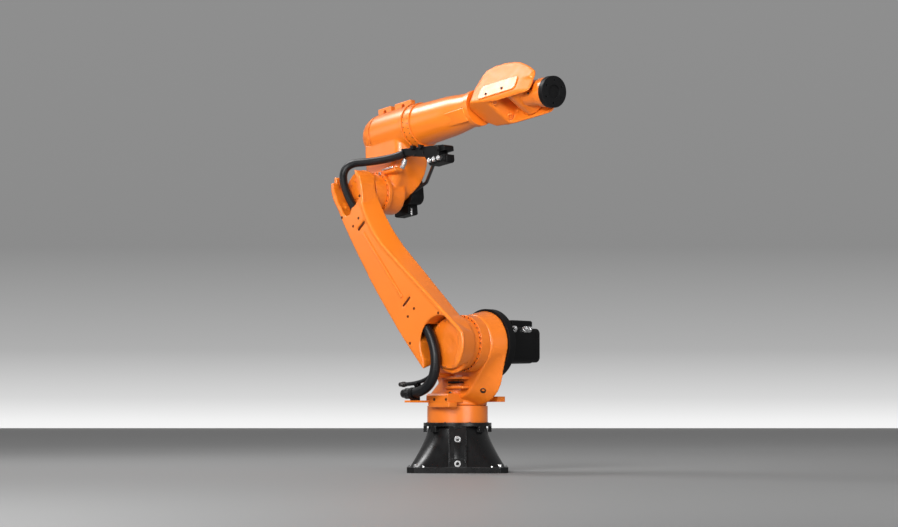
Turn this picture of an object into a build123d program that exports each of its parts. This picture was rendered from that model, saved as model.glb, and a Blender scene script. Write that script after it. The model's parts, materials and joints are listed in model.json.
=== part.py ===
from build123d import *
import math
import os

# Six-axis industrial robot arm on a flared black pedestal, in millimetres, +Z up.
# The origin is the middle of the pedestal's underside. The pedestal lies square to X and Y.
# The arm stands turned about the upright axis, its link arm leaning back, its forearm near level.

# Joint layout: where the six axes lie at rest
TURN_REST = -46.0
SHOULDER_OUT = 175.0
SHOULDER_UP = 575.0
LINK_LENGTH = 950.0
LINK_LEAN = 40.5
ELBOW_RISE = 292.0
FOREARM_PITCH = 6.2
FOREARM_LENGTH = 913.0
WRIST_ROLL = -30.0
WRIST_BEND = 13.1
FLANGE_REACH = 200.0

# Fits
RUNNING_GAP = 0.3
OVERRUN = 5.0

# Pedestal
PLATE_WIDTH = 452.0
PLATE_THICK = 26.0
PLATE_CHAMFER = 35.0
PLATE_HOLE = 22.0
PLATE_HOLE_INSET = 42.0
FLARE_FOOT_HALF = 214.0
FLARE_NECK_RADIUS = 131.0
PEDESTAL_TOP = 207.0
FLARE_CURVE_POWER = 1.4
FLARE_STEPS = 4
FOOT_CORNER_SHARE = 0.3
ROUND_CORNER_SHARE = 0.98
TOP_RING_RADIUS = 155.0
TOP_RING_THICK = 16.0
RING_LUG_COUNT = 8
RING_LUG_WIDTH = 34.0
RING_LUG_DEPTH = 16.0
RING_LUG_DROP = 26.0
RIB_HALF = 39.0
RIB_FOOT_OUT = 218.0
RIB_HEAD_OUT = 150.0
RIB_STEP_HEIGHT = 64.0
BUSHING_RADIUS = 14.5
BUSHING_BORE = 7.5
BUSHING_PROUD = 8.0
BUSHING_LOW_UP = 42.0
BUSHING_HIGH_UP = 150.0
REAR_BOX_WIDTH = 210.0
REAR_BOX_HEIGHT = 104.0
REAR_BOX_OUT = 222.0
REAR_BOX_SOCKET_RADIUS = 21.0
REAR_BOX_SOCKET_DEPTH = 12.0
REAR_BOX_SOCKETS = 3
REAR_BOX_CHAMFER = 12.0

# Turning column
NECK_RADIUS = 138.0
NECK_TOP = 300.0
NECK_EDGE = 8.0
TURNTABLE_RADIUS = 134.0
TURNTABLE_TOP = 338.0
SADDLE_TOP = 440.0
SADDLE_OUT = 78.0
SADDLE_SIDE = -38.0
SADDLE_LENGTH = 196.0
SADDLE_WIDTH = 98.0
DRUM_NEAR = -90.0
DRUM_NEAR_RADIUS = 132.0
DRUM_NEAR_FOOT_OUT = 80.0
DRUM_NEAR_FOOT_UP = 464.0
DRUM_NEAR_FOOT_RADIUS = 134.0
DRUM_FAR_RADIUS = 151.0
DRUM_FAR_FOOT_OUT = 139.0
DRUM_FAR_FOOT_UP = 456.0
DRUM_FAR_FOOT_RADIUS = 155.0
DRUM_EDGE = 7.0
GEAR_RADIUS = 118.0
GEAR_FLANGE_RADIUS = 128.0
GEAR_FLANGE_WIDTH = 52.0
MOTOR_DISC_RADIUS = 160.0
MOTOR_DISC_THICK = 38.0
SHELF_THICK = 18.0
SHELF_MARGIN = 10.0
TRAY_LENGTH = 38.0
TRAY_OUT = -24.0
TRAY_UP = 314.0
TRAY_THICK = 9.0
TRAY_REACH = 288.0
TRAY_BLOCK_LENGTH = 92.0
TRAY_BLOCK_OUT = 66.0
TRAY_BLOCK_REACH = 172.0
TRAY_BLOCK_HEIGHT = 40.0
LUG_LENGTH = 64.0
LUG_WIDTH = 46.0
LUG_HEIGHT = 24.0
LUG_UP = 317.0
LUG_SIDE = 60.0
LUG_OUT = 222.0

# Motors: square housings with a round-edged cap
SHOULDER_MOTOR_SIDE = 165.0
SHOULDER_MOTOR_LENGTH = 246.0
SHOULDER_MOTOR_CORNER = 30.0
SHOULDER_BOX_LENGTH = 128.0
SHOULDER_BOX_WIDTH = 76.0
SHOULDER_BOX_HEIGHT = 31.0
SHOULDER_BOX_END_GAP = 14.0
TURN_MOTOR_SIDE = 140.0
TURN_MOTOR_LENGTH = 250.0
TURN_MOTOR_CORNER = 26.0
TURN_MOTOR_BACK = -20.0
TURN_MOTOR_SIDEWAYS = 128.0
ELBOW_MOTOR_SIDE = 140.0
ELBOW_MOTOR_LENGTH = 86.0
ELBOW_MOTOR_CORNER = 40.0
ELBOW_MOTOR_RISE = 26.0
ELBOW_BOX_LENGTH = 62.0
ELBOW_BOX_WIDTH = 96.0
ELBOW_BOX_HEIGHT = 42.0
ELBOW_BOX_BACK = -34.0
MOTOR_CAP_LENGTH = 46.0
MOTOR_CAP_STEP = 5.0

# Link arm, on the right-hand side of the column
LINK_OUTER = -285.0
LINK_INNER = -185.0
LINK_FLOOR = -202.0
LINK_LOW_RADIUS = 154.0
LINK_HIGH_RADIUS = 106.0
LINK_BACK_MID = -156.0
LINK_BACK_MID_SHARE = 0.5
LINK_WAIST_FROM = 25.0
LINK_WAIST_FROM_SHARE = 0.57
LINK_SHOULDER_FRONT = 60.0
LINK_SHOULDER_FRONT_SHARE = 0.945
LINK_SPREAD = 21.0
LINK_LOW_DRAFT = 24.0
LINK_LOW_FRONT_ANGLE = -20.0
LOW_HOLE_RADIUS = 122.0
HIGH_HOLE_RADIUS = 84.0
LOW_MOUTH_HALF = 100.0
HIGH_MOUTH_HALF = 82.0
HIGH_MOUTH_TURN = 12.0
HIGH_NOTCH_PERP = -60.0
HIGH_NOTCH_DOWN = 62.0
HIGH_NOTCH_RADIUS = 28.0
TUNNEL_PERP = -50.0
TUNNEL_WIDTH = 76.0
TUNNEL_ROOF = 8.0
LINK_SLOT_WIDTH = 12.0
LINK_SLOT_LENGTH = 70.0
LINK_SLOT_DEPTH = 7.0
LINK_SLOT_LOW_SHARE = 0.298
LINK_SLOT_HIGH_SHARE = 0.8
LINK_GROOVE_WIDTH = 5.0
LINK_GROOVE_DEPTH = 3.0
LINK_GROOVE_PERP = -45.0
LINK_SLOT_PERP = -37.0
HUB_PLATE_MARGIN = 8.0
HUB_PLATE_THICK = 10.0
HUB_RIB_WIDTH = 16.0
HUB_RIB_HEIGHT = 6.0
HUB_BOSS_RADIUS = 30.0

# Elbow
ELBOW_NEAR = -95.0
ELBOW_FAR = 60.0
ELBOW_GEAR_RADIUS = 104.0
ELBOW_GEAR_FLANGE_RADIUS = 92.0
ELBOW_GEAR_FLANGE_WIDTH = 20.0
ELBOW_BACK = -74.0
ELBOW_NEAR_HEAD_OUT = 44.0
ELBOW_NEAR_HEAD_UP = 205.0
ELBOW_NEAR_HEAD_RADIUS = 132.0
ELBOW_FAR_RADIUS = 92.0
ELBOW_FAR_OUT = -62.0
ELBOW_FAR_UP = 38.0
ELBOW_FAR_HEAD_OUT = 20.0
ELBOW_FAR_HEAD_UP = 170.0
ELBOW_FAR_HEAD_RADIUS = 178.0
ELBOW_EDGE = 46.0
LEDGE_FROM = 72.0
LEDGE_LENGTH = 86.0
LEDGE_UP = 78.0
LEDGE_HEIGHT = 22.0
LEDGE_DEPTH = 26.0
BARREL_RADIUS = 108.0
BARREL_BACK = -24.0
BARREL_FRONT = 200.0
DOME_LENGTH = 92.0
DOME_FACE_RADIUS = 58.0
RING_RADIUS = 112.0
RING_WIDTH = 10.0
TOP_LUG_THICK = 26.0
TOP_LUG_SIDE = 46.0
TOP_LUG_HEIGHT = 44.0
TOP_LUG_ROUND = 5.0
TOP_LUG_BACK_FROM = -96.0
TOP_LUG_BACK_LENGTH = 92.0
TOP_LUG_FRONT_FROM = 22.0
TOP_LUG_FRONT_LENGTH = 116.0
TOP_LUG_HOLE = 11.0

# Supply bracket and hoses
BRACKET_FROM = 214.0
BRACKET_LENGTH = 288.0
BRACKET_TOP = 172.0
BRACKET_FALL = 38.0
BRACKET_DEPTH = 30.0
BRACKET_SIDE = -96.0
BRACKET_WIDTH = 58.0
BRACKET_HEAD_LENGTH = 104.0
BRACKET_HEAD_DEPTH = 78.0
BRACKET_CORNER = 12.0
BRACKET_NOTCH_DEPTH = 40.0
BRACKET_NOTCH_HEIGHT = 18.0
BRACKET_NOTCH_DROP = 26.0
PLUG_COUNT = 3
PLUG_RADIUS = 11.0
PLUG_LENGTH = 18.0
PLUG_PITCH = 30.0
PLUG_DROP = 58.0
LOW_HOSE_RADIUS = 23.0
HIGH_HOSE_RADIUS = 19.0
CLAMP_WALL = 5.0
CLAMP_LENGTH = 18.0
HOSE_SIDE = -252.0
CONDUIT_RADIUS = 8.0
CONDUIT_CORNER_OUT = 166.0
CONDUIT_CORNER_UP = 38.0
LOW_CABLE_RADIUS = 9.0
LOW_CABLE_SIDE = -228.0

# Lower hose and cable, in the column's frame: out of their clamp, round and up into the link arm
LOW_HOSE_RADII = (135.0, 130.0)
LOW_HOSE_ROUTE = (
    (-62.0, HOSE_SIDE, 354.0),
    (92.0, HOSE_SIDE, 354.0),
    (140.0, HOSE_SIDE, 560.0),
    (39.0, HOSE_SIDE, 676.0),
)
LOW_CABLE_RADII = (70.0, 70.0)
LOW_CABLE_ROUTE = (
    (-132.0, LOW_CABLE_SIDE, 396.0),
    (74.0, LOW_CABLE_SIDE, 396.0),
    (106.0, LOW_CABLE_SIDE, 550.0),
    (6.0, LOW_CABLE_SIDE, 668.0),
)

# Upper hose, in the elbow's frame: out of the link arm, over the elbow and to the supply bracket
HIGH_HOSE_RADII = (76.0, 110.0)
HIGH_HOSE_ROUTE = (
    (21.0, HOSE_SIDE, -107.0),
    (-160.0, HOSE_SIDE, 158.0),
    (152.0, -138.0, 130.0),
    (225.0, -116.0, 150.0),
)

# Forearm and wrist
FOREARM_RING_RADIUS = 106.0
FOREARM_RING_WIDTH = 46.0
FOREARM_START_RADIUS = 100.0
NECK_BACK = 317.0
NECK_TAPER_LENGTH = 166.0
FOREARM_MID_RADIUS = 93.0
FOREARM_NECK_RADIUS = 79.0
COLLAR_RADIUS = 84.0
COLLAR_WIDTH = 26.0
WRIST_ROOT_BACK = 117.0
WRIST_SLOT_LEAN_FROM = 40.0
WRIST_SLOT_LEAN = 0.8
WRIST_HALF_WIDTH = 95.0
WRIST_TOP = 134.0
WRIST_FRONT_TOP = 114.0
WRIST_UNDER = 82.0
WRIST_REAR_UNDER = 46.0
WRIST_RAMP_BACK = 73.0
WRIST_CREASE_UP = 32.0
WRIST_CREASE_INSET = 20.0
WRIST_EDGE = 16.0
WRIST_TAPER_LENGTH = 46.0
FORK_HALF_GAP = 76.0
FORK_REACH = 133.0
FORK_SLANT_BACK = 13.0
FORK_SLANT_UP = 24.0
FORK_NARROW_REACH = 52.0
FORK_END_HALF = 83.0
FORK_END_CORNER = 30.0
COVER_BACK = 195.0
COVER_THICK = 5.0
COVER_INSET = 10.0
HAND_CLEARANCE = 5.0
HAND_RADIUS = 66.0
NOSE_RADIUS = 58.0
NOSE_END = 128.0
ADAPTER_RADIUS = 65.0
ADAPTER_END = 174.0
FLANGE_RADIUS = 70.0
FLANGE_BOLT_CIRCLE = 100.0
FLANGE_BOLT_COUNT = 6
FLANGE_BOLT_HOLE = 8.0
FLANGE_BORE = 63.0
FLANGE_BORE_DEPTH = 8.0

# Frames of the joints at rest
COLUMN = Location((0, 0, 0), (0, 0, TURN_REST))
SHOULDER = COLUMN * Location((SHOULDER_OUT, 0, SHOULDER_UP))
LINK = SHOULDER * Location((0, 0, 0), (0, -LINK_LEAN, 0))
ELBOW = LINK * Location((0, 0, LINK_LENGTH), (0, LINK_LEAN - FOREARM_PITCH, 0))
FOREARM = ELBOW * Location((0, 0, ELBOW_RISE), (WRIST_ROLL, 0, 0))
HAND = FOREARM * Location((FOREARM_LENGTH, 0, 0), (0, WRIST_BEND, 0))

RING_BASE = PEDESTAL_TOP + TOP_RING_THICK

# Stations along the forearm, set out from the wrist axis
FOREARM_NECK = FOREARM_LENGTH - NECK_BACK
FOREARM_MID = FOREARM_NECK - NECK_TAPER_LENGTH
WRIST_ROOT_END = FOREARM_LENGTH - WRIST_ROOT_BACK
WRIST_RAMP_END = FOREARM_LENGTH - WRIST_RAMP_BACK
FORK_SLANT_FROM = FOREARM_LENGTH - FORK_SLANT_BACK
FORK_NARROW_FROM = FOREARM_LENGTH + FORK_NARROW_REACH
FORK_END = FOREARM_LENGTH + FORK_REACH
COVER_FROM = FOREARM_LENGTH - COVER_BACK


def drum(radius, side_from, side_to):
    """A cylinder lying along Y."""
    return extrude(Plane.XZ.offset(-side_to) * Circle(radius), side_to - side_from)


def slab(sketch, side_from, side_to):
    """An outline in X and Z, given thickness along Y."""
    return extrude(Plane.XZ.offset(-side_to) * sketch, side_to - side_from)


def rod(radius, start, end):
    """A cylinder lying along X."""
    return extrude(Plane.YZ.offset(start) * Circle(radius), end - start)


def post(radius, low, high):
    """An upright cylinder."""
    return Pos(0, 0, low) * extrude(Circle(radius), high - low)


def block(x_from, x_to, y_from, y_to, z_from, z_to):
    """A box between two corners."""
    middle = ((x_from + x_to) / 2, (y_from + y_to) / 2, (z_from + z_to) / 2)
    return Pos(*middle) * Box(x_to - x_from, y_to - y_from, z_to - z_from)


def hull(*circles):
    """The outline drawn tight round some circles, each given by its place and radius."""
    edges = []
    for across, up, radius in circles:
        edges += (Pos(across, up) * Circle(radius)).edges()
    return make_hull(edges)


def lofted_along_y(far_outline, far, near_outline, near):
    """A straight-sided body between two outlines in X and Z."""
    return loft([Plane.XZ.offset(-far) * far_outline, Plane.XZ.offset(-near) * near_outline], ruled=True)


def motor(side, length, corner):
    """A square motor along +Z: housing, shallow waist and a slightly smaller end cap."""
    body = extrude(RectangleRounded(side, side, corner), length - MOTOR_CAP_LENGTH)
    cap_side = side - 2 * MOTOR_CAP_STEP
    cap = Pos(0, 0, length - MOTOR_CAP_LENGTH) * extrude(
        RectangleRounded(cap_side, cap_side, corner - MOTOR_CAP_STEP), MOTOR_CAP_LENGTH
    )
    return body + chamfer(cap.edges().group_by(Axis.Z)[-1], MOTOR_CAP_STEP)


def base_casting():
    """The pedestal: a square foot plate with a concave flare up to a round neck, and a front rib."""
    plate = extrude(Rectangle(PLATE_WIDTH, PLATE_WIDTH), PLATE_THICK)
    plate = chamfer(plate.edges().filter_by(Axis.Z), PLATE_CHAMFER)
    sections = []
    for step in range(FLARE_STEPS + 1):
        climb = step / FLARE_STEPS
        spread = (FLARE_FOOT_HALF - FLARE_NECK_RADIUS) * (1 - climb) ** FLARE_CURVE_POWER
        half = FLARE_NECK_RADIUS + spread
        corner = FOOT_CORNER_SHARE + (ROUND_CORNER_SHARE - FOOT_CORNER_SHARE) * climb
        height = PLATE_THICK + (PEDESTAL_TOP - PLATE_THICK) * climb
        sections.append(Pos(0, 0, height) * RectangleRounded(2 * half, 2 * half, corner * half))
    casting = plate + loft(sections)
    rib = Polyline(
        (0, PLATE_THICK),
        (-RIB_FOOT_OUT, PLATE_THICK),
        (-RIB_FOOT_OUT, RIB_STEP_HEIGHT),
        (-RIB_HEAD_OUT, PEDESTAL_TOP),
        (0, PEDESTAL_TOP),
        close=True,
    )
    casting += extrude(Plane.YZ.offset(-RIB_HALF) * make_face(rib), 2 * RIB_HALF)
    inset = PLATE_WIDTH / 2 - PLATE_HOLE_INSET
    for place in GridLocations(2 * inset, 2 * inset, 2, 2):
        casting -= place * post(PLATE_HOLE / 2, -OVERRUN, PLATE_THICK + OVERRUN)
    return casting


def base_bushings():
    """Two bright bushings set in the front rib, one low and one high."""
    rise = (BUSHING_HIGH_UP - RIB_STEP_HEIGHT) / (PEDESTAL_TOP - RIB_STEP_HEIGHT)
    high_out = RIB_FOOT_OUT + (RIB_HEAD_OUT - RIB_FOOT_OUT) * rise
    rings = []
    for up, out in ((BUSHING_LOW_UP, RIB_FOOT_OUT), (BUSHING_HIGH_UP, high_out)):
        ring = drum(BUSHING_RADIUS, -out - BUSHING_PROUD, -out + BUSHING_RADIUS)
        ring -= drum(BUSHING_BORE, -out - BUSHING_PROUD - OVERRUN, -out)
        rings.append(Pos(0, 0, up) * ring)
    return rings[0] + rings[1]


def base_top_ring():
    """The round bearing flange on the pedestal, with stubby lugs under its rim."""
    ring = post(TOP_RING_RADIUS, PEDESTAL_TOP, RING_BASE)
    lug = block(
        TOP_RING_RADIUS - RING_LUG_DEPTH, TOP_RING_RADIUS, -RING_LUG_WIDTH / 2, RING_LUG_WIDTH / 2,
        PEDESTAL_TOP - RING_LUG_DROP, PEDESTAL_TOP,
    )
    for place in PolarLocations(0, RING_LUG_COUNT):
        ring += place * lug
    return ring


def rear_connector_box():
    """The plain box at the back of the pedestal, with three round sockets."""
    box = block(-REAR_BOX_WIDTH / 2, REAR_BOX_WIDTH / 2, 0, REAR_BOX_OUT, PLATE_THICK, PLATE_THICK + REAR_BOX_HEIGHT)
    box = chamfer(box.edges().filter_by(Axis.X).group_by(Axis.Z)[-1].sort_by(Axis.Y)[-1], REAR_BOX_CHAMFER)
    pitch = REAR_BOX_WIDTH / (REAR_BOX_SOCKETS + 1)
    for index in range(REAR_BOX_SOCKETS):
        across = pitch * (index + 1) - REAR_BOX_WIDTH / 2
        socket = drum(REAR_BOX_SOCKET_RADIUS, REAR_BOX_OUT - REAR_BOX_SOCKET_DEPTH, REAR_BOX_OUT + OVERRUN)
        box -= Pos(across, 0, PLATE_THICK + REAR_BOX_HEIGHT / 2) * socket
    return box


def turn_motor_pocket():
    """The square space on the far side of the column where the turning motor stands."""
    half = TURN_MOTOR_SIDE / 2 + RUNNING_GAP
    return block(
        TURN_MOTOR_BACK - half, TURN_MOTOR_BACK + half, TURN_MOTOR_SIDEWAYS - half, TURN_MOTOR_SIDEWAYS + half,
        TURNTABLE_TOP, TURNTABLE_TOP + TURN_MOTOR_LENGTH,
    )


def column_body():
    """The turning column's casting: a round foot, a saddle and the leaning shoulder drum."""
    near = hull(
        (SHOULDER_OUT, SHOULDER_UP, DRUM_NEAR_RADIUS),
        (DRUM_NEAR_FOOT_OUT, DRUM_NEAR_FOOT_UP, DRUM_NEAR_FOOT_RADIUS),
    )
    far = hull(
        (SHOULDER_OUT, SHOULDER_UP, DRUM_FAR_RADIUS),
        (DRUM_FAR_FOOT_OUT, DRUM_FAR_FOOT_UP, DRUM_FAR_FOOT_RADIUS),
    )
    body = lofted_along_y(far, 0, near, DRUM_NEAR)
    body = fillet(body.edges().group_by(Axis.Y)[0], DRUM_EDGE)
    foot = Pos(0, 0, TURNTABLE_TOP) * RectangleRounded(
        2 * TURNTABLE_RADIUS, 2 * TURNTABLE_RADIUS, ROUND_CORNER_SHARE * TURNTABLE_RADIUS
    )
    saddle = Pos(SADDLE_OUT, SADDLE_SIDE, SADDLE_TOP) * RectangleRounded(
        SADDLE_LENGTH, SADDLE_WIDTH, ROUND_CORNER_SHARE * SADDLE_WIDTH / 2
    )
    at_shoulder = Pos(SHOULDER_OUT, 0, SHOULDER_UP)
    body += post(TURNTABLE_RADIUS, NECK_TOP, TURNTABLE_TOP) + loft([foot, saddle])
    body -= at_shoulder * drum(MOTOR_DISC_RADIUS + RUNNING_GAP, 0, MOTOR_DISC_THICK + RUNNING_GAP)
    half = TURN_MOTOR_SIDE / 2 + SHELF_MARGIN
    shelf = block(
        TURN_MOTOR_BACK - half, TURN_MOTOR_BACK + half, 0, TURN_MOTOR_SIDEWAYS + half,
        TURNTABLE_TOP - SHELF_THICK, TURNTABLE_TOP,
    )
    return body + fillet(shelf.edges().filter_by(Axis.Z), SHELF_MARGIN) - turn_motor_pocket()


def stop_lug():
    """The square lug low on the front of the column."""
    lug = block(
        LUG_OUT - LUG_LENGTH - NECK_RADIUS / 2, LUG_OUT, LUG_SIDE - LUG_WIDTH / 2, LUG_SIDE + LUG_WIDTH / 2,
        LUG_UP, LUG_UP + LUG_HEIGHT,
    )
    return lug - column_body()


def hose_tray():
    """The flat bracket that carries the lower hoses beside the column, with the block that bolts it on."""
    tray = block(
        TRAY_OUT - TRAY_LENGTH / 2, TRAY_OUT + TRAY_LENGTH / 2, -TRAY_REACH, -TURNTABLE_RADIUS / 2,
        TRAY_UP, TRAY_UP + TRAY_THICK,
    )
    foot = block(
        TRAY_OUT, TRAY_BLOCK_OUT + TRAY_BLOCK_LENGTH / 2, -TRAY_BLOCK_REACH, -TURNTABLE_RADIUS / 2,
        TRAY_UP, TRAY_UP + TRAY_BLOCK_HEIGHT,
    )
    near = foot.edges().filter_by(Axis.X).group_by(Axis.Z)[-1].sort_by(Axis.Y)[0]
    return tray + chamfer(near, TRAY_THICK) - column_body()


def hose(route, radii, radius):
    """A round hose along straight runs joined by arcs."""
    line = FilletPolyline(*route, radius=list(radii))
    start = Plane(origin=line @ 0, z_dir=line % 0)
    return sweep(start * Circle(radius), path=line)


def hose_clamp():
    """Two joined bands round the lower hose and its cable, on a foot that stands on the tray."""
    back = TRAY_OUT - CLAMP_LENGTH / 2
    front = TRAY_OUT + CLAMP_LENGTH / 2
    held = (
        (HOSE_SIDE, LOW_HOSE_ROUTE[0][2], LOW_HOSE_RADIUS),
        (LOW_CABLE_SIDE, LOW_CABLE_ROUTE[0][2], LOW_CABLE_RADIUS),
    )
    clamp = block(
        back, front, LOW_CABLE_SIDE - LOW_CABLE_RADIUS, LOW_CABLE_SIDE + LOW_CABLE_RADIUS,
        TRAY_UP + TRAY_THICK, LOW_CABLE_ROUTE[0][2],
    )
    clamp += block(
        back, front, HOSE_SIDE - LOW_HOSE_RADIUS / 2, LOW_CABLE_SIDE, TRAY_UP + TRAY_THICK, LOW_HOSE_ROUTE[0][2],
    )
    for side, up, radius in held:
        clamp += Pos(0, side, up) * rod(radius + CLAMP_WALL, back, front)
    for side, up, radius in held:
        clamp -= Pos(0, side, up) * rod(radius, back - OVERRUN, front + OVERRUN)
    return clamp


def link_outline(low_radius, spread):
    """The link arm's outline in its own X and Z, wider by the spread along the front edge."""
    front_angle = math.radians(LINK_LOW_FRONT_ANGLE)
    low_front = (low_radius * math.cos(front_angle), low_radius * math.sin(front_angle))
    low_back = (-low_radius, 0)
    waist = (LINK_WAIST_FROM + spread, LINK_LENGTH * LINK_WAIST_FROM_SHARE)
    neck = (LINK_SHOULDER_FRONT + spread / 2, LINK_LENGTH * LINK_SHOULDER_FRONT_SHARE)
    high_front = (LINK_HIGH_RADIUS, LINK_LENGTH)
    high_back = (-LINK_HIGH_RADIUS, LINK_LENGTH)
    back_mid = (LINK_BACK_MID, LINK_LENGTH * LINK_BACK_MID_SHARE)
    front_line = Line(low_front, waist)
    edges = [
        ThreePointArc(low_back, (0, -low_radius), low_front),
        front_line,
        TangentArc(waist, neck, tangent=front_line % 1),
        Line(neck, high_front),
        ThreePointArc(high_front, (0, LINK_LENGTH + LINK_HIGH_RADIUS), high_back),
        ThreePointArc(high_back, back_mid, low_back),
    ]
    return make_face(edges)


def along_link(x_from, x_to, y_from, y_to, z_from, z_to, turn):
    """A box turned about the link arm's pivot by an angle in the arm's plane."""
    return Rot(0, turn, 0) * block(x_from, x_to, y_from, y_to, z_from, z_to)


def link_casting():
    """The link arm: a tapering hollow casting with an open ring at each end for the hoses."""
    outer = Plane.XZ.offset(-LINK_OUTER) * link_outline(LINK_LOW_RADIUS, 0)
    inner = Plane.XZ.offset(-LINK_INNER) * link_outline(LINK_LOW_RADIUS - LINK_LOW_DRAFT, LINK_SPREAD)
    arm = loft([inner, outer], ruled=True)
    beyond = LINK_OUTER - OVERRUN
    arm -= drum(LOW_HOLE_RADIUS, beyond, LINK_FLOOR)
    arm -= Pos(0, 0, LINK_LENGTH) * drum(HIGH_HOLE_RADIUS, beyond, LINK_FLOOR)
    reach = 2 * LINK_LOW_RADIUS
    arm -= along_link(-LOW_MOUTH_HALF, LOW_MOUTH_HALF, beyond, LINK_FLOOR, -reach, 0, LINK_LEAN)
    arm -= Pos(0, 0, LINK_LENGTH) * along_link(
        -HIGH_MOUTH_HALF, HIGH_MOUTH_HALF, beyond, LINK_FLOOR, 0, reach, HIGH_MOUTH_TURN
    )
    arm -= block(
        TUNNEL_PERP - TUNNEL_WIDTH / 2, TUNNEL_PERP + TUNNEL_WIDTH / 2, LINK_OUTER + TUNNEL_ROOF, LINK_FLOOR,
        0, LINK_LENGTH,
    )
    notch = hull((TUNNEL_PERP, 0, HIGH_NOTCH_RADIUS), (HIGH_NOTCH_PERP, -HIGH_NOTCH_DOWN, HIGH_NOTCH_RADIUS))
    arm -= Pos(0, 0, LINK_LENGTH) * slab(notch, beyond, LINK_FLOOR)
    for share in (LINK_SLOT_LOW_SHARE, LINK_SLOT_HIGH_SHARE):
        slot = slab(SlotOverall(LINK_SLOT_LENGTH, LINK_SLOT_WIDTH), beyond, LINK_OUTER + LINK_SLOT_DEPTH)
        arm -= Pos(LINK_SLOT_PERP, 0, share * LINK_LENGTH) * slot
    groove_from = LINK_SLOT_LOW_SHARE * LINK_LENGTH + LINK_SLOT_LENGTH / 2
    groove_to = LINK_SLOT_HIGH_SHARE * LINK_LENGTH - LINK_SLOT_LENGTH / 2
    arm -= block(
        LINK_GROOVE_PERP - LINK_GROOVE_WIDTH / 2, LINK_GROOVE_PERP + LINK_GROOVE_WIDTH / 2,
        beyond, LINK_OUTER + LINK_GROOVE_DEPTH, groove_from, groove_to,
    )
    return arm


def hub_plate(hole_radius):
    """A round cover inside an end ring of the link arm, with a radial rib and a boss."""
    radius = hole_radius - HUB_PLATE_MARGIN
    face = LINK_FLOOR - HUB_PLATE_THICK
    plate = drum(radius, face, LINK_FLOOR)
    rib = block(-radius + HUB_PLATE_MARGIN, radius - HUB_PLATE_MARGIN, face - HUB_RIB_HEIGHT, face,
                -HUB_RIB_WIDTH / 2, HUB_RIB_WIDTH / 2)
    return plate + rib + drum(HUB_BOSS_RADIUS, face - HUB_RIB_HEIGHT, face)


def gear_stage(radius, flange_radius, flange_width, side_from, side_to):
    """A stepped round gear housing between two castings."""
    stage = drum(radius, side_from, side_to)
    return stage + drum(flange_radius, side_to - flange_width, side_to)


def elbow_casting():
    """The elbow: a body that widens from the elbow axis to the barrel that carries the forearm."""
    near = hull(
        (0, 0, ELBOW_GEAR_RADIUS),
        (ELBOW_NEAR_HEAD_OUT, ELBOW_NEAR_HEAD_UP, ELBOW_NEAR_HEAD_RADIUS),
    )
    far = hull(
        (ELBOW_FAR_OUT, ELBOW_FAR_UP, ELBOW_FAR_RADIUS),
        (ELBOW_FAR_HEAD_OUT, ELBOW_FAR_HEAD_UP, ELBOW_FAR_HEAD_RADIUS),
    )
    body = lofted_along_y(far, ELBOW_FAR, near, ELBOW_NEAR)
    body = fillet(body.edges().group_by(Axis.Y)[0], ELBOW_EDGE)
    reach = ELBOW_RISE + BARREL_RADIUS
    kept = block(ELBOW_BACK, BARREL_FRONT, 2 * ELBOW_NEAR, 2 * ELBOW_FAR, -reach, ELBOW_RISE)
    ledge = block(
        LEDGE_FROM, LEDGE_FROM + LEDGE_LENGTH, ELBOW_NEAR - LEDGE_DEPTH, ELBOW_NEAR + LEDGE_DEPTH,
        LEDGE_UP, LEDGE_UP + LEDGE_HEIGHT,
    )
    barrel = Pos(0, 0, ELBOW_RISE) * rod(BARREL_RADIUS, BARREL_BACK, BARREL_FRONT)
    boss = drum(ELBOW_GEAR_FLANGE_RADIUS, ELBOW_NEAR, 0)
    return (body & kept) - rear_dome() + barrel + boss + ledge


def rear_dome():
    """The rounded cover on the back of the barrel."""
    rim = (BARREL_BACK, BARREL_RADIUS)
    tip = (BARREL_BACK - DOME_LENGTH, DOME_FACE_RADIUS)
    crown = (BARREL_BACK - DOME_LENGTH / 2, BARREL_RADIUS - DOME_LENGTH / 8)
    edges = [
        Line((BARREL_BACK, 0), rim),
        ThreePointArc(rim, crown, tip),
        Line(tip, (BARREL_BACK - DOME_LENGTH, 0)),
        Line((BARREL_BACK - DOME_LENGTH, 0), (BARREL_BACK, 0)),
    ]
    dome = revolve(Plane.XZ * make_face(edges), Axis.X)
    return Pos(0, 0, ELBOW_RISE) * dome


def top_lugs():
    """Two upright plates along the top of the elbow, each with a round hole."""
    lugs = None
    for start, length in (
        (TOP_LUG_BACK_FROM, TOP_LUG_BACK_LENGTH),
        (TOP_LUG_FRONT_FROM, TOP_LUG_FRONT_LENGTH),
    ):
        top = ELBOW_RISE + BARREL_RADIUS + TOP_LUG_HEIGHT
        lug = block(
            start, start + length, TOP_LUG_SIDE - TOP_LUG_THICK / 2, TOP_LUG_SIDE + TOP_LUG_THICK / 2,
            ELBOW_RISE, top,
        )
        upper = lug.edges().filter_by(Axis.Y).group_by(Axis.Z)[-1]
        lug = fillet(upper, TOP_LUG_ROUND)
        hole = drum(TOP_LUG_HOLE, TOP_LUG_SIDE - TOP_LUG_THICK, TOP_LUG_SIDE + TOP_LUG_THICK)
        lug -= Pos(start + length / 2, 0, top - TOP_LUG_HEIGHT / 2) * hole
        lugs = lug if lugs is None else lugs + lug
    carried = Pos(0, 0, ELBOW_RISE) * rod(BARREL_RADIUS, BARREL_BACK, BARREL_FRONT)
    return lugs - carried - rear_dome()


def bearing_ring():
    """The ring round the front of the barrel, where the forearm turns."""
    return Pos(0, 0, ELBOW_RISE) * rod(RING_RADIUS, BARREL_FRONT, BARREL_FRONT + RING_WIDTH)


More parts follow.
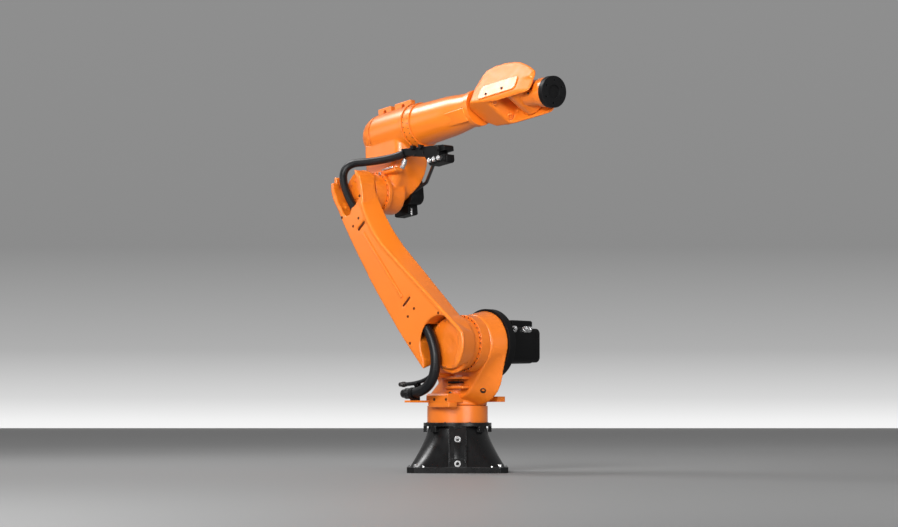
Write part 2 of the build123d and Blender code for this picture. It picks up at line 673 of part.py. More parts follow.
def supply_bracket():
    """The black bracket under the forearm that ends the hose and holds the plugs in its deep head."""
    end = BRACKET_FROM + BRACKET_LENGTH
    head = end - BRACKET_HEAD_LENGTH
    head_top = BRACKET_TOP - BRACKET_FALL
    outline = make_face(Polyline(
        (BRACKET_FROM, BRACKET_TOP),
        (end, head_top),
        (end, head_top - BRACKET_HEAD_DEPTH),
        (head, head_top - BRACKET_HEAD_DEPTH),
        (head - BRACKET_DEPTH, head_top - BRACKET_DEPTH),
        (BRACKET_FROM, BRACKET_TOP - BRACKET_DEPTH),
        close=True,
    ))
    outline = fillet(outline.vertices().sort_by(Axis.X)[-2:], BRACKET_CORNER)
    far_side = BRACKET_SIDE + BRACKET_WIDTH / 2
    bracket = slab(outline, BRACKET_SIDE - BRACKET_WIDTH / 2, far_side)
    notch_top = head_top - BRACKET_NOTCH_DROP
    bracket -= block(
        end - BRACKET_NOTCH_DEPTH, end + OVERRUN, BRACKET_SIDE - BRACKET_WIDTH, far_side + OVERRUN,
        notch_top - BRACKET_NOTCH_HEIGHT, notch_top,
    )
    stem = block(
        BRACKET_FROM - BRACKET_HEAD_LENGTH, BRACKET_FROM, ELBOW_NEAR, far_side,
        BRACKET_TOP - BRACKET_DEPTH, BRACKET_TOP,
    )
    return bracket + stem - elbow_casting()


def supply_plugs():
    """Bright metal plugs in a row on the near face of the bracket's head."""
    face = BRACKET_SIDE - BRACKET_WIDTH / 2
    start = BRACKET_FROM + BRACKET_LENGTH - BRACKET_HEAD_LENGTH
    plugs = None
    for index in range(PLUG_COUNT):
        plug = drum(PLUG_RADIUS, face - PLUG_LENGTH, face)
        across = start + PLUG_PITCH * (index + 1 / 2)
        plug = Pos(across, 0, BRACKET_TOP - BRACKET_FALL - PLUG_DROP) * plug
        plugs = plug if plugs is None else plugs + plug
    return plugs


def forearm_tube():
    """The tapering forearm tube, revolved about its own axis."""
    start = BARREL_FRONT + RING_WIDTH + RUNNING_GAP + FOREARM_RING_WIDTH
    profile = [
        Line((start, 0), (start, FOREARM_START_RADIUS)),
        Line((start, FOREARM_START_RADIUS), (FOREARM_MID, FOREARM_MID_RADIUS)),
        Spline(
            (FOREARM_MID, FOREARM_MID_RADIUS), (FOREARM_NECK, FOREARM_NECK_RADIUS),
            tangents=((FOREARM_MID - start, FOREARM_MID_RADIUS - FOREARM_START_RADIUS), (1, 0)),
        ),
        Line((FOREARM_NECK, FOREARM_NECK_RADIUS), (FOREARM_NECK, 0)),
        Line((FOREARM_NECK, 0), (start, 0)),
    ]
    return revolve(Plane.XZ * make_face(profile), Axis.X)


def forearm_ring():
    """The turning flange ring at the root of the forearm."""
    start = BARREL_FRONT + RING_WIDTH + RUNNING_GAP
    return rod(FOREARM_RING_RADIUS, start, start + FOREARM_RING_WIDTH)


def wrist_collar():
    """The collar where the round forearm meets the square wrist."""
    return rod(COLLAR_RADIUS, FOREARM_NECK, FOREARM_NECK + COLLAR_WIDTH)


def wrist_section(along, share):
    """The wrist's eight-sided section across the forearm, at a share of its full size."""
    half = share * WRIST_HALF_WIDTH
    top = share * WRIST_TOP
    under = share * WRIST_UNDER
    crease = share * WRIST_CREASE_UP
    inset = share * WRIST_CREASE_INSET
    edge = share * WRIST_EDGE
    right = [(half - inset, top), (half, crease), (half, edge - under), (half - edge, -under)]
    left = [(-across, up) for across, up in reversed(right)]
    return Plane.YZ.offset(along) * make_face(Polyline(*right, *left, close=True))


def wrist_side():
    """The wrist's outline seen from the side: a ramp below at the back, a slanted end with rounded corners."""
    foot = FOREARM_NECK + COLLAR_WIDTH
    side = make_face(Polyline(
        (foot, -WRIST_REAR_UNDER),
        (WRIST_RAMP_END, -WRIST_UNDER),
        (FORK_END, -WRIST_UNDER),
        (FORK_END, FORK_SLANT_UP),
        (FORK_SLANT_FROM, WRIST_FRONT_TOP),
        (foot + WRIST_TAPER_LENGTH, WRIST_TOP),
        (foot, WRIST_TOP),
        close=True,
    ))
    return fillet(side.vertices().sort_by(Axis.X)[-2:], FORK_END_CORNER)


def wrist_housing():
    """The wrist fork: an eight-sided body that splits into two cheeks with slanted ends."""
    foot = FOREARM_NECK + COLLAR_WIDTH
    shoulder = foot + WRIST_TAPER_LENGTH
    foot_share = COLLAR_RADIUS / math.hypot(WRIST_HALF_WIDTH - WRIST_CREASE_INSET, WRIST_TOP)
    taper = loft([wrist_section(foot, foot_share), wrist_section(shoulder, 1)], ruled=True)
    body = taper + extrude(wrist_section(shoulder, 1), FORK_END - shoulder)
    body &= slab(wrist_side(), -WRIST_HALF_WIDTH, WRIST_HALF_WIDTH)
    above = 2 * WRIST_TOP
    leaned = WRIST_ROOT_END - WRIST_SLOT_LEAN * (above - WRIST_SLOT_LEAN_FROM)
    slot = make_face(Polyline(
        (WRIST_ROOT_END, -WRIST_SLOT_LEAN_FROM),
        (leaned, -above),
        (FORK_END + OVERRUN, -above),
        (FORK_END + OVERRUN, above),
        (leaned, above),
        (WRIST_ROOT_END, WRIST_SLOT_LEAN_FROM),
        close=True,
    ))
    body -= slab(slot, -FORK_HALF_GAP, FORK_HALF_GAP)
    for side in (-1, 1):
        wedge = make_face(Polyline(
            (FORK_NARROW_FROM, side * WRIST_HALF_WIDTH),
            (FORK_END, side * FORK_END_HALF),
            (FORK_END, side * WRIST_HALF_WIDTH),
            close=True,
        ))
        body -= extrude(Plane.XY.offset(-above) * wedge, 2 * above)
    return body


def wrist_cover(side):
    """A flat cover plate on the outside of one cheek."""
    low = WRIST_EDGE + COVER_INSET - WRIST_UNDER
    high = WRIST_CREASE_UP - COVER_INSET
    end = FORK_NARROW_FROM - COVER_INSET
    plate = RectangleRounded(end - COVER_FROM, high - low, FORK_END_CORNER - COVER_INSET)
    plate = Pos((COVER_FROM + end) / 2, (low + high) / 2) * plate
    near, far = sorted((side * WRIST_HALF_WIDTH, side * (WRIST_HALF_WIDTH + COVER_THICK)))
    return slab(plate, near, far)


def wrist_hand():
    """The hand that nods between the cheeks: a round barrel with a short nose."""
    half = FORK_HALF_GAP - HAND_CLEARANCE
    return drum(HAND_RADIUS, -half, half) + rod(NOSE_RADIUS, 0, NOSE_END)


def wrist_pins():
    """Round bearing stubs that carry the hand in the cheeks."""
    half = FORK_HALF_GAP - HAND_CLEARANCE
    stub = FORK_HALF_GAP - RUNNING_GAP
    return drum(HAND_RADIUS / 2, half, stub) + drum(HAND_RADIUS / 2, -stub, -half)


def hand_adapter():
    """The round gear end of the hand, just behind the tool flange."""
    return rod(ADAPTER_RADIUS, NOSE_END, ADAPTER_END)


def tool_flange():
    """The black tool flange: six holes on a bolt circle round a centring bore."""
    start = ADAPTER_END + RUNNING_GAP
    flange = rod(FLANGE_RADIUS, start, FLANGE_REACH)
    flange -= rod(FLANGE_BORE / 2, FLANGE_REACH - FLANGE_BORE_DEPTH, FLANGE_REACH + OVERRUN)
    for index in range(FLANGE_BOLT_COUNT):
        hole = Pos(0, FLANGE_BOLT_CIRCLE / 2, 0) * rod(FLANGE_BOLT_HOLE / 2, ADAPTER_END, FLANGE_REACH + OVERRUN)
        flange -= Rot(360 / FLANGE_BOLT_COUNT * index, 0, 0) * hole
    return flange


def shoulder_motor_box():
    """The connector box on top of the shoulder motor."""
    end = MOTOR_DISC_THICK + SHOULDER_MOTOR_LENGTH - SHOULDER_BOX_END_GAP
    foot = SHOULDER_MOTOR_SIDE / 2
    box = block(
        -SHOULDER_BOX_WIDTH / 2, SHOULDER_BOX_WIDTH / 2, end - SHOULDER_BOX_LENGTH, end,
        foot, foot + SHOULDER_BOX_HEIGHT,
    )
    return chamfer(box.edges().group_by(Axis.Z)[-1], MOTOR_CAP_STEP)


def elbow_motor_box():
    """The connector box under the elbow motor."""
    end = ELBOW_FAR + ELBOW_MOTOR_LENGTH - MOTOR_CAP_STEP
    foot = ELBOW_MOTOR_RISE - ELBOW_MOTOR_SIDE / 2
    box = block(
        ELBOW_BOX_BACK - ELBOW_BOX_WIDTH / 2, ELBOW_BOX_BACK + ELBOW_BOX_WIDTH / 2, end - ELBOW_BOX_LENGTH, end,
        foot - ELBOW_BOX_HEIGHT, foot + ELBOW_MOTOR_CORNER,
    )
    return chamfer(box.edges().group_by(Axis.Z)[0], MOTOR_CAP_STEP)


def elbow_motor_conduit():
    """The stiff conduit from the elbow motor up to the supply bracket."""
    beside = ELBOW_FAR + CONDUIT_RADIUS + RUNNING_GAP
    head = BRACKET_FROM + BRACKET_LENGTH - BRACKET_HEAD_LENGTH
    head_top = BRACKET_TOP - BRACKET_FALL
    top = (head, BRACKET_SIDE + BRACKET_WIDTH / 4, head_top - BRACKET_HEAD_DEPTH / 2)
    corner = (CONDUIT_CORNER_OUT, beside, CONDUIT_CORNER_UP)
    low = (ELBOW_MOTOR_SIDE / 4, beside, 0)
    line = FilletPolyline(top, corner, low, radius=4 * CONDUIT_RADIUS)
    start = Plane(origin=line @ 0, z_dir=line % 0)
    return sweep(start * Circle(CONDUIT_RADIUS), path=line)


def along_y(shape):
    """Turn a shape that stands along +Z so that it lies along +Y."""
    return Rot(-90, 0, 0) * shape


def build():
    """All the pieces, each placed by the frame of the joint that carries it."""
    nodes = {
        "base_casting": base_casting(),
        "base_bushings": base_bushings(),
        "base_top_ring": base_top_ring(),
        "rear_connector_box": rear_connector_box() - base_casting(),
    }
    nodes["base_bushings"] -= nodes["base_casting"]
    nodes["base_top_ring"] -= nodes["base_casting"]

    nodes["column_neck"] = COLUMN * post(NECK_RADIUS, RING_BASE + RUNNING_GAP, NECK_TOP)
    nodes["column_casting"] = COLUMN * column_body()
    nodes["stop_lug"] = COLUMN * stop_lug()
    nodes["hose_tray"] = COLUMN * hose_tray()
    nodes["shoulder_gear_stage"] = SHOULDER * gear_stage(
        GEAR_RADIUS, GEAR_FLANGE_RADIUS, GEAR_FLANGE_WIDTH, LINK_INNER + RUNNING_GAP, DRUM_NEAR
    )
    nodes["shoulder_motor_disc"] = SHOULDER * drum(MOTOR_DISC_RADIUS, 0, MOTOR_DISC_THICK)
    shoulder_motor = motor(SHOULDER_MOTOR_SIDE, SHOULDER_MOTOR_LENGTH, SHOULDER_MOTOR_CORNER)
    nodes["shoulder_motor"] = SHOULDER * Pos(0, MOTOR_DISC_THICK, 0) * along_y(shoulder_motor)
    nodes["shoulder_motor_box"] = SHOULDER * shoulder_motor_box()
    turn_motor = motor(TURN_MOTOR_SIDE, TURN_MOTOR_LENGTH, TURN_MOTOR_CORNER)
    turn_place = Pos(TURN_MOTOR_BACK, TURN_MOTOR_SIDEWAYS, TURNTABLE_TOP)
    nodes["turn_motor"] = COLUMN * turn_place * turn_motor
    nodes["lower_hose_clamp"] = COLUMN * hose_clamp()
    nodes["lower_hose"] = COLUMN * hose(LOW_HOSE_ROUTE, LOW_HOSE_RADII, LOW_HOSE_RADIUS)
    nodes["lower_cable"] = COLUMN * hose(LOW_CABLE_ROUTE, LOW_CABLE_RADII, LOW_CABLE_RADIUS)

    nodes["link_arm_casting"] = LINK * link_casting()
    nodes["lower_hub_plate"] = LINK * hub_plate(LOW_HOLE_RADIUS)
    nodes["upper_hub_plate"] = LINK * Pos(0, 0, LINK_LENGTH) * hub_plate(HIGH_HOLE_RADIUS)
    nodes["upper_hose"] = ELBOW * hose(HIGH_HOSE_ROUTE, HIGH_HOSE_RADII, HIGH_HOSE_RADIUS)

    nodes["elbow_casting"] = ELBOW * elbow_casting()
    nodes["elbow_rear_dome"] = ELBOW * rear_dome()
    nodes["elbow_top_lugs"] = ELBOW * top_lugs()
    nodes["elbow_gear_stage"] = ELBOW * gear_stage(
        ELBOW_GEAR_FLANGE_RADIUS, ELBOW_GEAR_RADIUS, ELBOW_GEAR_FLANGE_WIDTH,
        LINK_INNER + RUNNING_GAP, ELBOW_NEAR,
    )
    nodes["elbow_bearing_ring"] = ELBOW * bearing_ring()
    elbow_motor = motor(ELBOW_MOTOR_SIDE, ELBOW_MOTOR_LENGTH, ELBOW_MOTOR_CORNER)
    nodes["elbow_motor"] = ELBOW * Pos(0, ELBOW_FAR, ELBOW_MOTOR_RISE) * along_y(elbow_motor)
    nodes["elbow_motor_box"] = ELBOW * elbow_motor_box() - nodes["elbow_motor"]
    nodes["elbow_motor_conduit"] = ELBOW * elbow_motor_conduit() - nodes["elbow_motor"]
    nodes["supply_bracket"] = ELBOW * supply_bracket()
    nodes["elbow_motor_conduit"] -= nodes["supply_bracket"]
    nodes["upper_hose"] -= nodes["supply_bracket"]
    nodes["supply_plugs"] = ELBOW * supply_plugs()

    nodes["forearm_ring"] = FOREARM * forearm_ring()
    nodes["forearm_tube"] = FOREARM * forearm_tube()
    nodes["wrist_collar"] = FOREARM * wrist_collar()
    nodes["wrist_housing"] = FOREARM * wrist_housing()
    nodes["wrist_cover_near"] = FOREARM * wrist_cover(-1)
    nodes["wrist_cover_far"] = FOREARM * wrist_cover(1)

    nodes["wrist_hand"] = HAND * wrist_hand()
    nodes["wrist_pins"] = HAND * wrist_pins()
    nodes["hand_adapter"] = HAND * hand_adapter()
    nodes["tool_flange"] = HAND * tool_flange()
    return nodes


os.makedirs("parts", exist_ok=True)
for name, shape in build().items():
    export_step(shape, f"parts/{name}.step")
print("lower hose bend radii", *LOW_HOSE_RADII)
print("lower cable bend radii", *LOW_CABLE_RADII)
print("upper hose bend radii", *HIGH_HOSE_RADII)
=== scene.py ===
import json
import math
import bmesh
import bpy
from mathutils import Matrix, Vector


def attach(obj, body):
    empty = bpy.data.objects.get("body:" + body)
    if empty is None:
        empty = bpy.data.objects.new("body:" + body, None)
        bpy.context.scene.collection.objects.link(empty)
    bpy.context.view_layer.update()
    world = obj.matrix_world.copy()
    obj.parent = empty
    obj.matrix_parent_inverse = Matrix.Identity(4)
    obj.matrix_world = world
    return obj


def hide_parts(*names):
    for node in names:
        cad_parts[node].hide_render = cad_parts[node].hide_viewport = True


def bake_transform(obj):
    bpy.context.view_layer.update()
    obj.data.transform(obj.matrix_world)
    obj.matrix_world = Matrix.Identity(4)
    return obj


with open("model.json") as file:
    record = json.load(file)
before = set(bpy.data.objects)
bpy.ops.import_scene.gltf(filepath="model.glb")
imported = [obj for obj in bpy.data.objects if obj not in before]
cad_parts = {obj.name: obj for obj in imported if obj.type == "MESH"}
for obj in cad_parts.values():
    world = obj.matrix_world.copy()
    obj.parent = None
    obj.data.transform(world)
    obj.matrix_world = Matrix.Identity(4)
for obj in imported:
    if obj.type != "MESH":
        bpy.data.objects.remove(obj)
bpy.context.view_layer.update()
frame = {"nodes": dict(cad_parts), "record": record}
nodes = frame["nodes"]

MM = 0.001


def moved(x, y, z):
    """A shift given in millimetres."""
    return Matrix.Translation((x * MM, y * MM, z * MM))


def turned(axis, degrees):
    """A turn about an axis, in degrees."""
    return Matrix.Rotation(math.radians(degrees), 4, axis)


def facing(point, normal):
    """A place at a point, in millimetres, with its own +Z along a direction."""
    return moved(*point) @ Vector(normal).to_track_quat("Z", "Y").to_matrix().to_4x4()


# Frames of the joints at rest, in millimetres and degrees, as in the part's source
COLUMN_TURN = -46
SHOULDER_OUT = 175
SHOULDER_UP = 575
LINK_LEAN = -40.5
LINK_LENGTH = 950
ELBOW_LEAN = -6.2
FOREARM_UP = 292
FOREARM_TURN = -30
FOREARM_LENGTH = 913
HAND_NOD = 13.1
COLUMN = turned("Z", COLUMN_TURN)
SHOULDER = COLUMN @ moved(SHOULDER_OUT, 0, SHOULDER_UP)
LINK = SHOULDER @ turned("Y", LINK_LEAN)
ELBOW = LINK @ moved(0, 0, LINK_LENGTH) @ turned("Y", ELBOW_LEAN - LINK_LEAN)
FOREARM = ELBOW @ moved(0, 0, FOREARM_UP) @ turned("X", FOREARM_TURN)
HAND = FOREARM @ moved(FOREARM_LENGTH, 0, 0) @ turned("Y", HAND_NOD)

# Turns that point a piece's own +Z along another axis
TO_FRONT_SIDE = turned("X", 90)
TO_FAR_SIDE = turned("X", -90)
TO_BACK = turned("Y", -90)


# Materials

# Scales of the noises in a finish, and the lengths of its painted corner shade and bump in metres
PATCH_SCALE = 3.0
SHADE_PATCH_SCALE = 9.0
WEAR_AND_HIGHLIGHT_SCALE = 22.0
GLOSS_SCALE = 30.0
SHADE_REACH = 0.025
BUMP_HEIGHT = 0.0006
# Ranges of the masks: tilt of an edge, shade in a corner, cover of the painted corner shade
EDGE_TILT = (0.75, 0.985)
CORNER_SHADE = (0.2, 0.75)
SHADE_COVER = (0.4, 0.85)


def add_node(tree, kind, **settings):
    made = tree.nodes.new(kind)
    for name, value in settings.items():
        setattr(made, name, value)
    return made


def noise(tree, place, scale, detail=4.0, roughness=0.55):
    """Noise in the object's own space."""
    texture = add_node(tree, "ShaderNodeTexNoise")
    texture.inputs["Scale"].default_value = scale
    texture.inputs["Detail"].default_value = detail
    texture.inputs["Roughness"].default_value = roughness
    tree.links.new(place.outputs["Object"], texture.inputs["Vector"])
    return texture.outputs["Fac"]


def spread(tree, source, low, high, start=0.3, end=0.7):
    """Maps a mask to a range of values."""
    mapped = add_node(tree, "ShaderNodeMapRange")
    mapped.inputs["From Min"].default_value = start
    mapped.inputs["From Max"].default_value = end
    mapped.inputs["To Min"].default_value = low
    mapped.inputs["To Max"].default_value = high
    tree.links.new(source, mapped.inputs["Value"])
    return mapped.outputs["Result"]


def combined(tree, operation, first, second):
    """Two masks put together by an operation such as a product or the larger of them."""
    joined = add_node(tree, "ShaderNodeMath", operation=operation)
    tree.links.new(first, joined.inputs[0])
    tree.links.new(second, joined.inputs[1])
    return joined.outputs["Value"]


def mix_colours(tree, mask, first, second):
    mixer = add_node(tree, "ShaderNodeMix", data_type="RGBA")
    tree.links.new(mask, mixer.inputs["Factor"])
    colour_a, colour_b = (s for s in mixer.inputs if s.type == "RGBA")
    for socket, value in ((colour_a, first), (colour_b, second)):
        if isinstance(value, tuple):
            socket.default_value = (*value, 1.0)
        else:
            tree.links.new(value, socket)
    return next(s for s in mixer.outputs if s.type == "RGBA")


def rounded_edges(tree, radius):
    """The surface normal with its edges rounded off."""
    bevel = add_node(tree, "ShaderNodeBevel", samples=4)
    bevel.inputs["Radius"].default_value = radius
    return bevel.outputs["Normal"]


def edge_mask(tree, radius):
    """1 along the edges and 0 elsewhere, from the rounded normal's tilt."""
    geometry = add_node(tree, "ShaderNodeNewGeometry")
    dot = add_node(tree, "ShaderNodeVectorMath", operation="DOT_PRODUCT")
    tree.links.new(rounded_edges(tree, radius), dot.inputs[0])
    tree.links.new(geometry.outputs["Normal"], dot.inputs[1])
    return spread(tree, dot.outputs["Value"], 1.0, 0.0, *EDGE_TILT)


def corner_mask(tree, reach):
    """1 deep in a corner, where shade is painted, and 0 on open faces."""
    shade = add_node(tree, "ShaderNodeAmbientOcclusion", samples=6)
    shade.inputs["Distance"].default_value = reach
    return spread(tree, shade.outputs["AO"], 1.0, 0.0, *CORNER_SHADE)


def bumped(tree, source, strength, distance, normal):
    """A normal with a fine bump on it."""
    bump = add_node(tree, "ShaderNodeBump")
    bump.inputs["Strength"].default_value = strength
    bump.inputs["Distance"].default_value = distance
    tree.links.new(source, bump.inputs["Height"])
    tree.links.new(normal, bump.inputs["Normal"])
    return bump.outputs["Normal"]


def finish_of(name, colours, edge_colour, roughness, bump_scale, bump_strength, edge_radius=0.004,
              metallic=0.0, coat=0.0, coat_roughness=0.1, edge_share=0.5, specular=0.5, corner_shade_colour=None):
    """A finish: two patchy colours, a paler edge that is partly wear and partly painted highlight, uneven
    gloss and a fine bump.

    Where a corner shade colour is given, it is painted into the corners as shade, in patches.
    """
    made = bpy.data.materials.new(name)
    made.use_nodes = True
    tree = made.node_tree
    shader = tree.nodes["Principled BSDF"]
    place = add_node(tree, "ShaderNodeTexCoord")
    patches = spread(tree, noise(tree, place, PATCH_SCALE, detail=6.0), 0.0, 1.0)
    colour = mix_colours(tree, patches, *colours)
    # painted shade: deep in the corners the colour darkens, in patches, towards a shade colour
    if corner_shade_colour:
        cover = spread(tree, noise(tree, place, SHADE_PATCH_SCALE), *SHADE_COVER)
        painted_corner_shade = combined(tree, "MULTIPLY", corner_mask(tree, SHADE_REACH), cover)
        colour = mix_colours(tree, painted_corner_shade, colour, corner_shade_colour)
    # the paler edge colour is partly wear and partly a painted highlight along the edges
    scuffs = spread(tree, noise(tree, place, WEAR_AND_HIGHLIGHT_SCALE, detail=5.0), 0.0, edge_share)
    edge_wear_and_highlight = combined(tree, "MULTIPLY", edge_mask(tree, edge_radius), scuffs)
    colour = mix_colours(tree, edge_wear_and_highlight, colour, edge_colour)
    tree.links.new(colour, shader.inputs["Base Color"])
    gloss = noise(tree, place, GLOSS_SCALE, detail=5.0, roughness=0.6)
    tree.links.new(spread(tree, gloss, *roughness), shader.inputs["Roughness"])
    grain = noise(tree, place, bump_scale, detail=3.0, roughness=0.5)
    normal = bumped(tree, grain, bump_strength, BUMP_HEIGHT, rounded_edges(tree, edge_radius))
    tree.links.new(normal, shader.inputs["Normal"])
    shader.inputs["Metallic"].default_value = metallic
    shader.inputs["Coat Weight"].default_value = coat
    shader.inputs["Coat Roughness"].default_value = coat_roughness
    shader.inputs["Specular IOR Level"].default_value = specular
    return made


ORANGES = ((0.81, 0.182, 0.0095), (0.86, 0.206, 0.012))
# edge colour of the orange paint: partly wear, partly painted highlight
EDGE_WEAR_HIGHLIGHT_ORANGE = (0.95, 0.40, 0.12)
# colour of the painted shade in the corners of the orange castings
PAINTED_SHADE_ORANGE = (0.45, 0.06, 0.004)


def orange_finish(name, roughness, coat=0.0, coat_roughness=0.1):
    """Orange paint with a gloss of its own."""
    return finish_of(
        name, ORANGES, EDGE_WEAR_HIGHLIGHT_ORANGE, roughness, bump_scale=700.0, bump_strength=0.03, coat=coat,
        coat_roughness=coat_roughness, corner_shade_colour=PAINTED_SHADE_ORANGE,
    )


orange_paint = orange_finish("orange_paint", roughness=(0.3, 0.42), coat=0.3, coat_roughness=0.22)
orange_satin = orange_finish("orange_satin", roughness=(0.32, 0.42), coat=0.16, coat_roughness=0.3)
orange_dull = orange_finish("orange_dull", roughness=(0.44, 0.54))
# its pale edge colour is partly wear and partly painted highlight lines along the edges
black_gloss = finish_of(
    "black_gloss_paint", colours=((0.002, 0.002, 0.0022), (0.0035, 0.0035, 0.004)),
    edge_colour=(0.14, 0.14, 0.145), roughness=(0.24, 0.34), bump_scale=260.0, bump_strength=0.015,
    edge_share=0.9, specular=0.4,
)
black_matt = finish_of(
    "black_matt_paint", colours=((0.003, 0.003, 0.0033), (0.0055, 0.0055, 0.006)),
    edge_colour=(0.05, 0.05, 0.05), roughness=(0.4, 0.55), bump_scale=420.0, bump_strength=0.04,
    edge_radius=0.003, specular=0.16,
)
hose_rubber = finish_of(
    "hose_rubber", colours=((0.004, 0.004, 0.0047), (0.008, 0.008, 0.009)),
    edge_colour=(0.03, 0.03, 0.03), roughness=(0.3, 0.44), bump_scale=500.0, bump_strength=0.05,
    edge_radius=0.001, specular=0.34,
)
bright_steel = finish_of(
    "bright_steel", colours=((0.62, 0.62, 0.63), (0.74, 0.74, 0.74)),
    edge_colour=(0.85, 0.85, 0.85), roughness=(0.2, 0.36), bump_scale=900.0, bump_strength=0.05,
    edge_radius=0.0015, metallic=1.0,
)
dark_steel = finish_of(
    "dark_steel", colours=((0.04, 0.035, 0.033), (0.075, 0.07, 0.068)),
    edge_colour=(0.3, 0.3, 0.3), roughness=(0.3, 0.45), bump_scale=900.0, bump_strength=0.06,
    edge_radius=0.001, metallic=1.0,
)
hole_shade = finish_of(
    "hole_shade", colours=((0.075, 0.014, 0.003), (0.11, 0.02, 0.004)),
    edge_colour=(0.3, 0.06, 0.01), roughness=(0.5, 0.6), bump_scale=420.0, bump_strength=0.04,
    edge_radius=0.001, specular=0.2,
)
FINISHES = {
    "orange_paint": orange_paint, "black_gloss_paint": black_gloss, "black_matt_paint": black_matt,
    "hose_rubber": hose_rubber, "bright_steel": bright_steel,
}

for part in frame["record"]["subparts"]:
    mesh = nodes[part["node"]].data
    mesh.materials.clear()
    mesh.materials.append(FINISHES[part["material_slot"]])


# Templates of small parts, in millimetres, standing on their own origin along +Z

def ring_faces(rings, sides):
    """Faces that join rings of points one after another, with a cap on the first ring and the last."""
    faces = []
    for level in range(rings - 1):
        for side in range(sides):
            after = (side + 1) % sides
            low, high = level * sides, (level + 1) * sides
            faces.append((low + side, low + after, high + after, high + side))
    faces.append(tuple(reversed(range(sides))))
    faces.append(tuple(range((rings - 1) * sides, rings * sides)))
    return faces


def hexagon_radius(across, angle):
    """The distance from a hexagon's middle to its edge, at an angle."""
    sixth = math.pi / 3
    return across / math.cos(angle % sixth - sixth / 2)


def lathe(rings, sides=24):
    """A closed round shape from rings of (radius, height). A third value in a ring makes it a hexagon."""
    points = []
    for ring in rings:
        for side in range(sides):
            angle = 2 * math.pi * side / sides
            radius = hexagon_radius(ring[0], angle) if len(ring) == 3 else ring[0]
            points.append((radius * math.cos(angle), radius * math.sin(angle), ring[1]))
    return points, ring_faces(len(rings), sides)


def lathe_shares(shares, radius, length, sides=24):
    """A lathe shape whose rings are given as shares of its radius and its length."""
    return lathe([(ring[0] * radius, ring[1] * length, *ring[2:]) for ring in shares], sides)


HEX_BOLT_SHARES = [
    (1.25, -0.2), (1.25, 0.16), (1.2, 0.2), (0.866, 0.2, "hex"), (0.866, 0.88, "hex"), (0.805, 1.0),
    (0.433, 1.02),
]
HOLE_DISC_SHARES = [(1.0, -1.0), (1.0, 0.6), (0.94, 1.0), (0.84, 1.0), (0.78, 0.3), (0.4, 0.2)]
HOSE_END_SHARES = [
    (0.97, -0.75), (1.06, -0.7), (1.06, -0.06), (0.98, 0.0), (0.918, 0.04, "hex"), (0.918, 0.44, "hex"),
    (0.84, 0.5), (0.84, 0.9), (0.78, 1.0), (0.6, 1.0), (0.56, 0.4), (0.1, 0.4),
]
RIB_SHARES = [(1.0, 0.2), (1.0, 0.245), (0.95, 0.26)]
RIB_STEP_SHARE = 0.08
RIB_COUNT = 5
CONNECTOR_SHARES = [
    (0.8, -0.1), (0.8, 0.17), (0.95, 0.18),
    *((size, along + RIB_STEP_SHARE * i) for i in range(RIB_COUNT) for size, along in RIB_SHARES),
    (0.82, 0.62), (0.82, 0.9), (0.74, 1.0), (0.5, 1.0), (0.46, 0.8), (0.1, 0.8),
]
SCREW_RIM_SHARE = 0.16
SCREW_SOCKET_SHARE = 0.52
BAND_EDGE_SHARE = 0.3
FINE_SIDES = 36


def cap_screw(radius, height):
    """A socket-head screw with a rounded rim and a hexagon socket."""
    rim = radius * SCREW_RIM_SHARE
    socket = radius * SCREW_SOCKET_SHARE
    return lathe([
        (radius, -height * 0.3), (radius, height - rim), (radius - rim * 0.35, height - rim * 0.3),
        (radius - rim, height), (socket * 1.06, height, "hex"), (socket, height - rim * 0.4, "hex"),
        (socket, height * 0.35, "hex"), (socket * 0.3, height * 0.3),
    ])


def hex_bolt(radius, height):
    """A hexagon-head bolt on a washer."""
    return lathe_shares(HEX_BOLT_SHARES, radius, height)


def hole_shade_disc(radius, height=1.2):
    """A sunk disc in a thin rim; in a dark finish it is painted shade in a hole."""
    return lathe_shares(HOLE_DISC_SHARES, radius, height)


def connector(radius, length):
    """A round plug: a collar, a ribbed coupling ring and a narrower back shell."""
    return lathe_shares(CONNECTOR_SHARES, radius, length)


def hose_end(radius, length):
    """A hose's end fitting: a sleeve over the hose, a hexagon nut and an open spigot."""
    return lathe_shares(HOSE_END_SHARES, radius, length, FINE_SIDES)


def band(inner, outer, width):
    """A ring about +Z, open in the middle, with rounded rims."""
    edge = (outer - inner) * BAND_EDGE_SHARE
    half = width / 2
    profile = [
        (inner, -half), (outer - edge, -half), (outer, edge - half), (outer, half - edge),
        (outer - edge, half), (inner, half),
    ]
    points, faces = lathe(profile, FINE_SIDES)
    faces = faces[:-2]
    last = (len(profile) - 1) * FINE_SIDES
    for side in range(FINE_SIDES):
        after = (side + 1) % FINE_SIDES
        faces.append((last + side, last + after, after, side))
    return points, faces


def block(length, width, height, bevel):
    """A block with rounded edges."""
    solid = bmesh.new()
    bmesh.ops.create_cube(solid, size=1.0)
    bmesh.ops.scale(solid, vec=(length, width, height), verts=solid.verts)
    bmesh.ops.translate(solid, vec=(0, 0, height / 2), verts=solid.verts)
    bmesh.ops.bevel(solid, geom=solid.edges[:], offset=bevel, segments=3, profile=0.5, affect="EDGES")
    solid.verts.index_update()
    template = [tuple(v.co) for v in solid.verts], [tuple(v.index for v in f.verts) for f in solid.faces]
    solid.free()
    return template


# Templates of forms that are cast on to a casting, from points (x, z) in its frame

def heading_at(line, index):
    """The direction of a line of points (x, z) at one of them."""
    before, after = line[max(index - 1, 0)], line[min(index + 1, len(line) - 1)]
    return Vector((after[0] - before[0], 0, after[1] - before[1])).normalized()


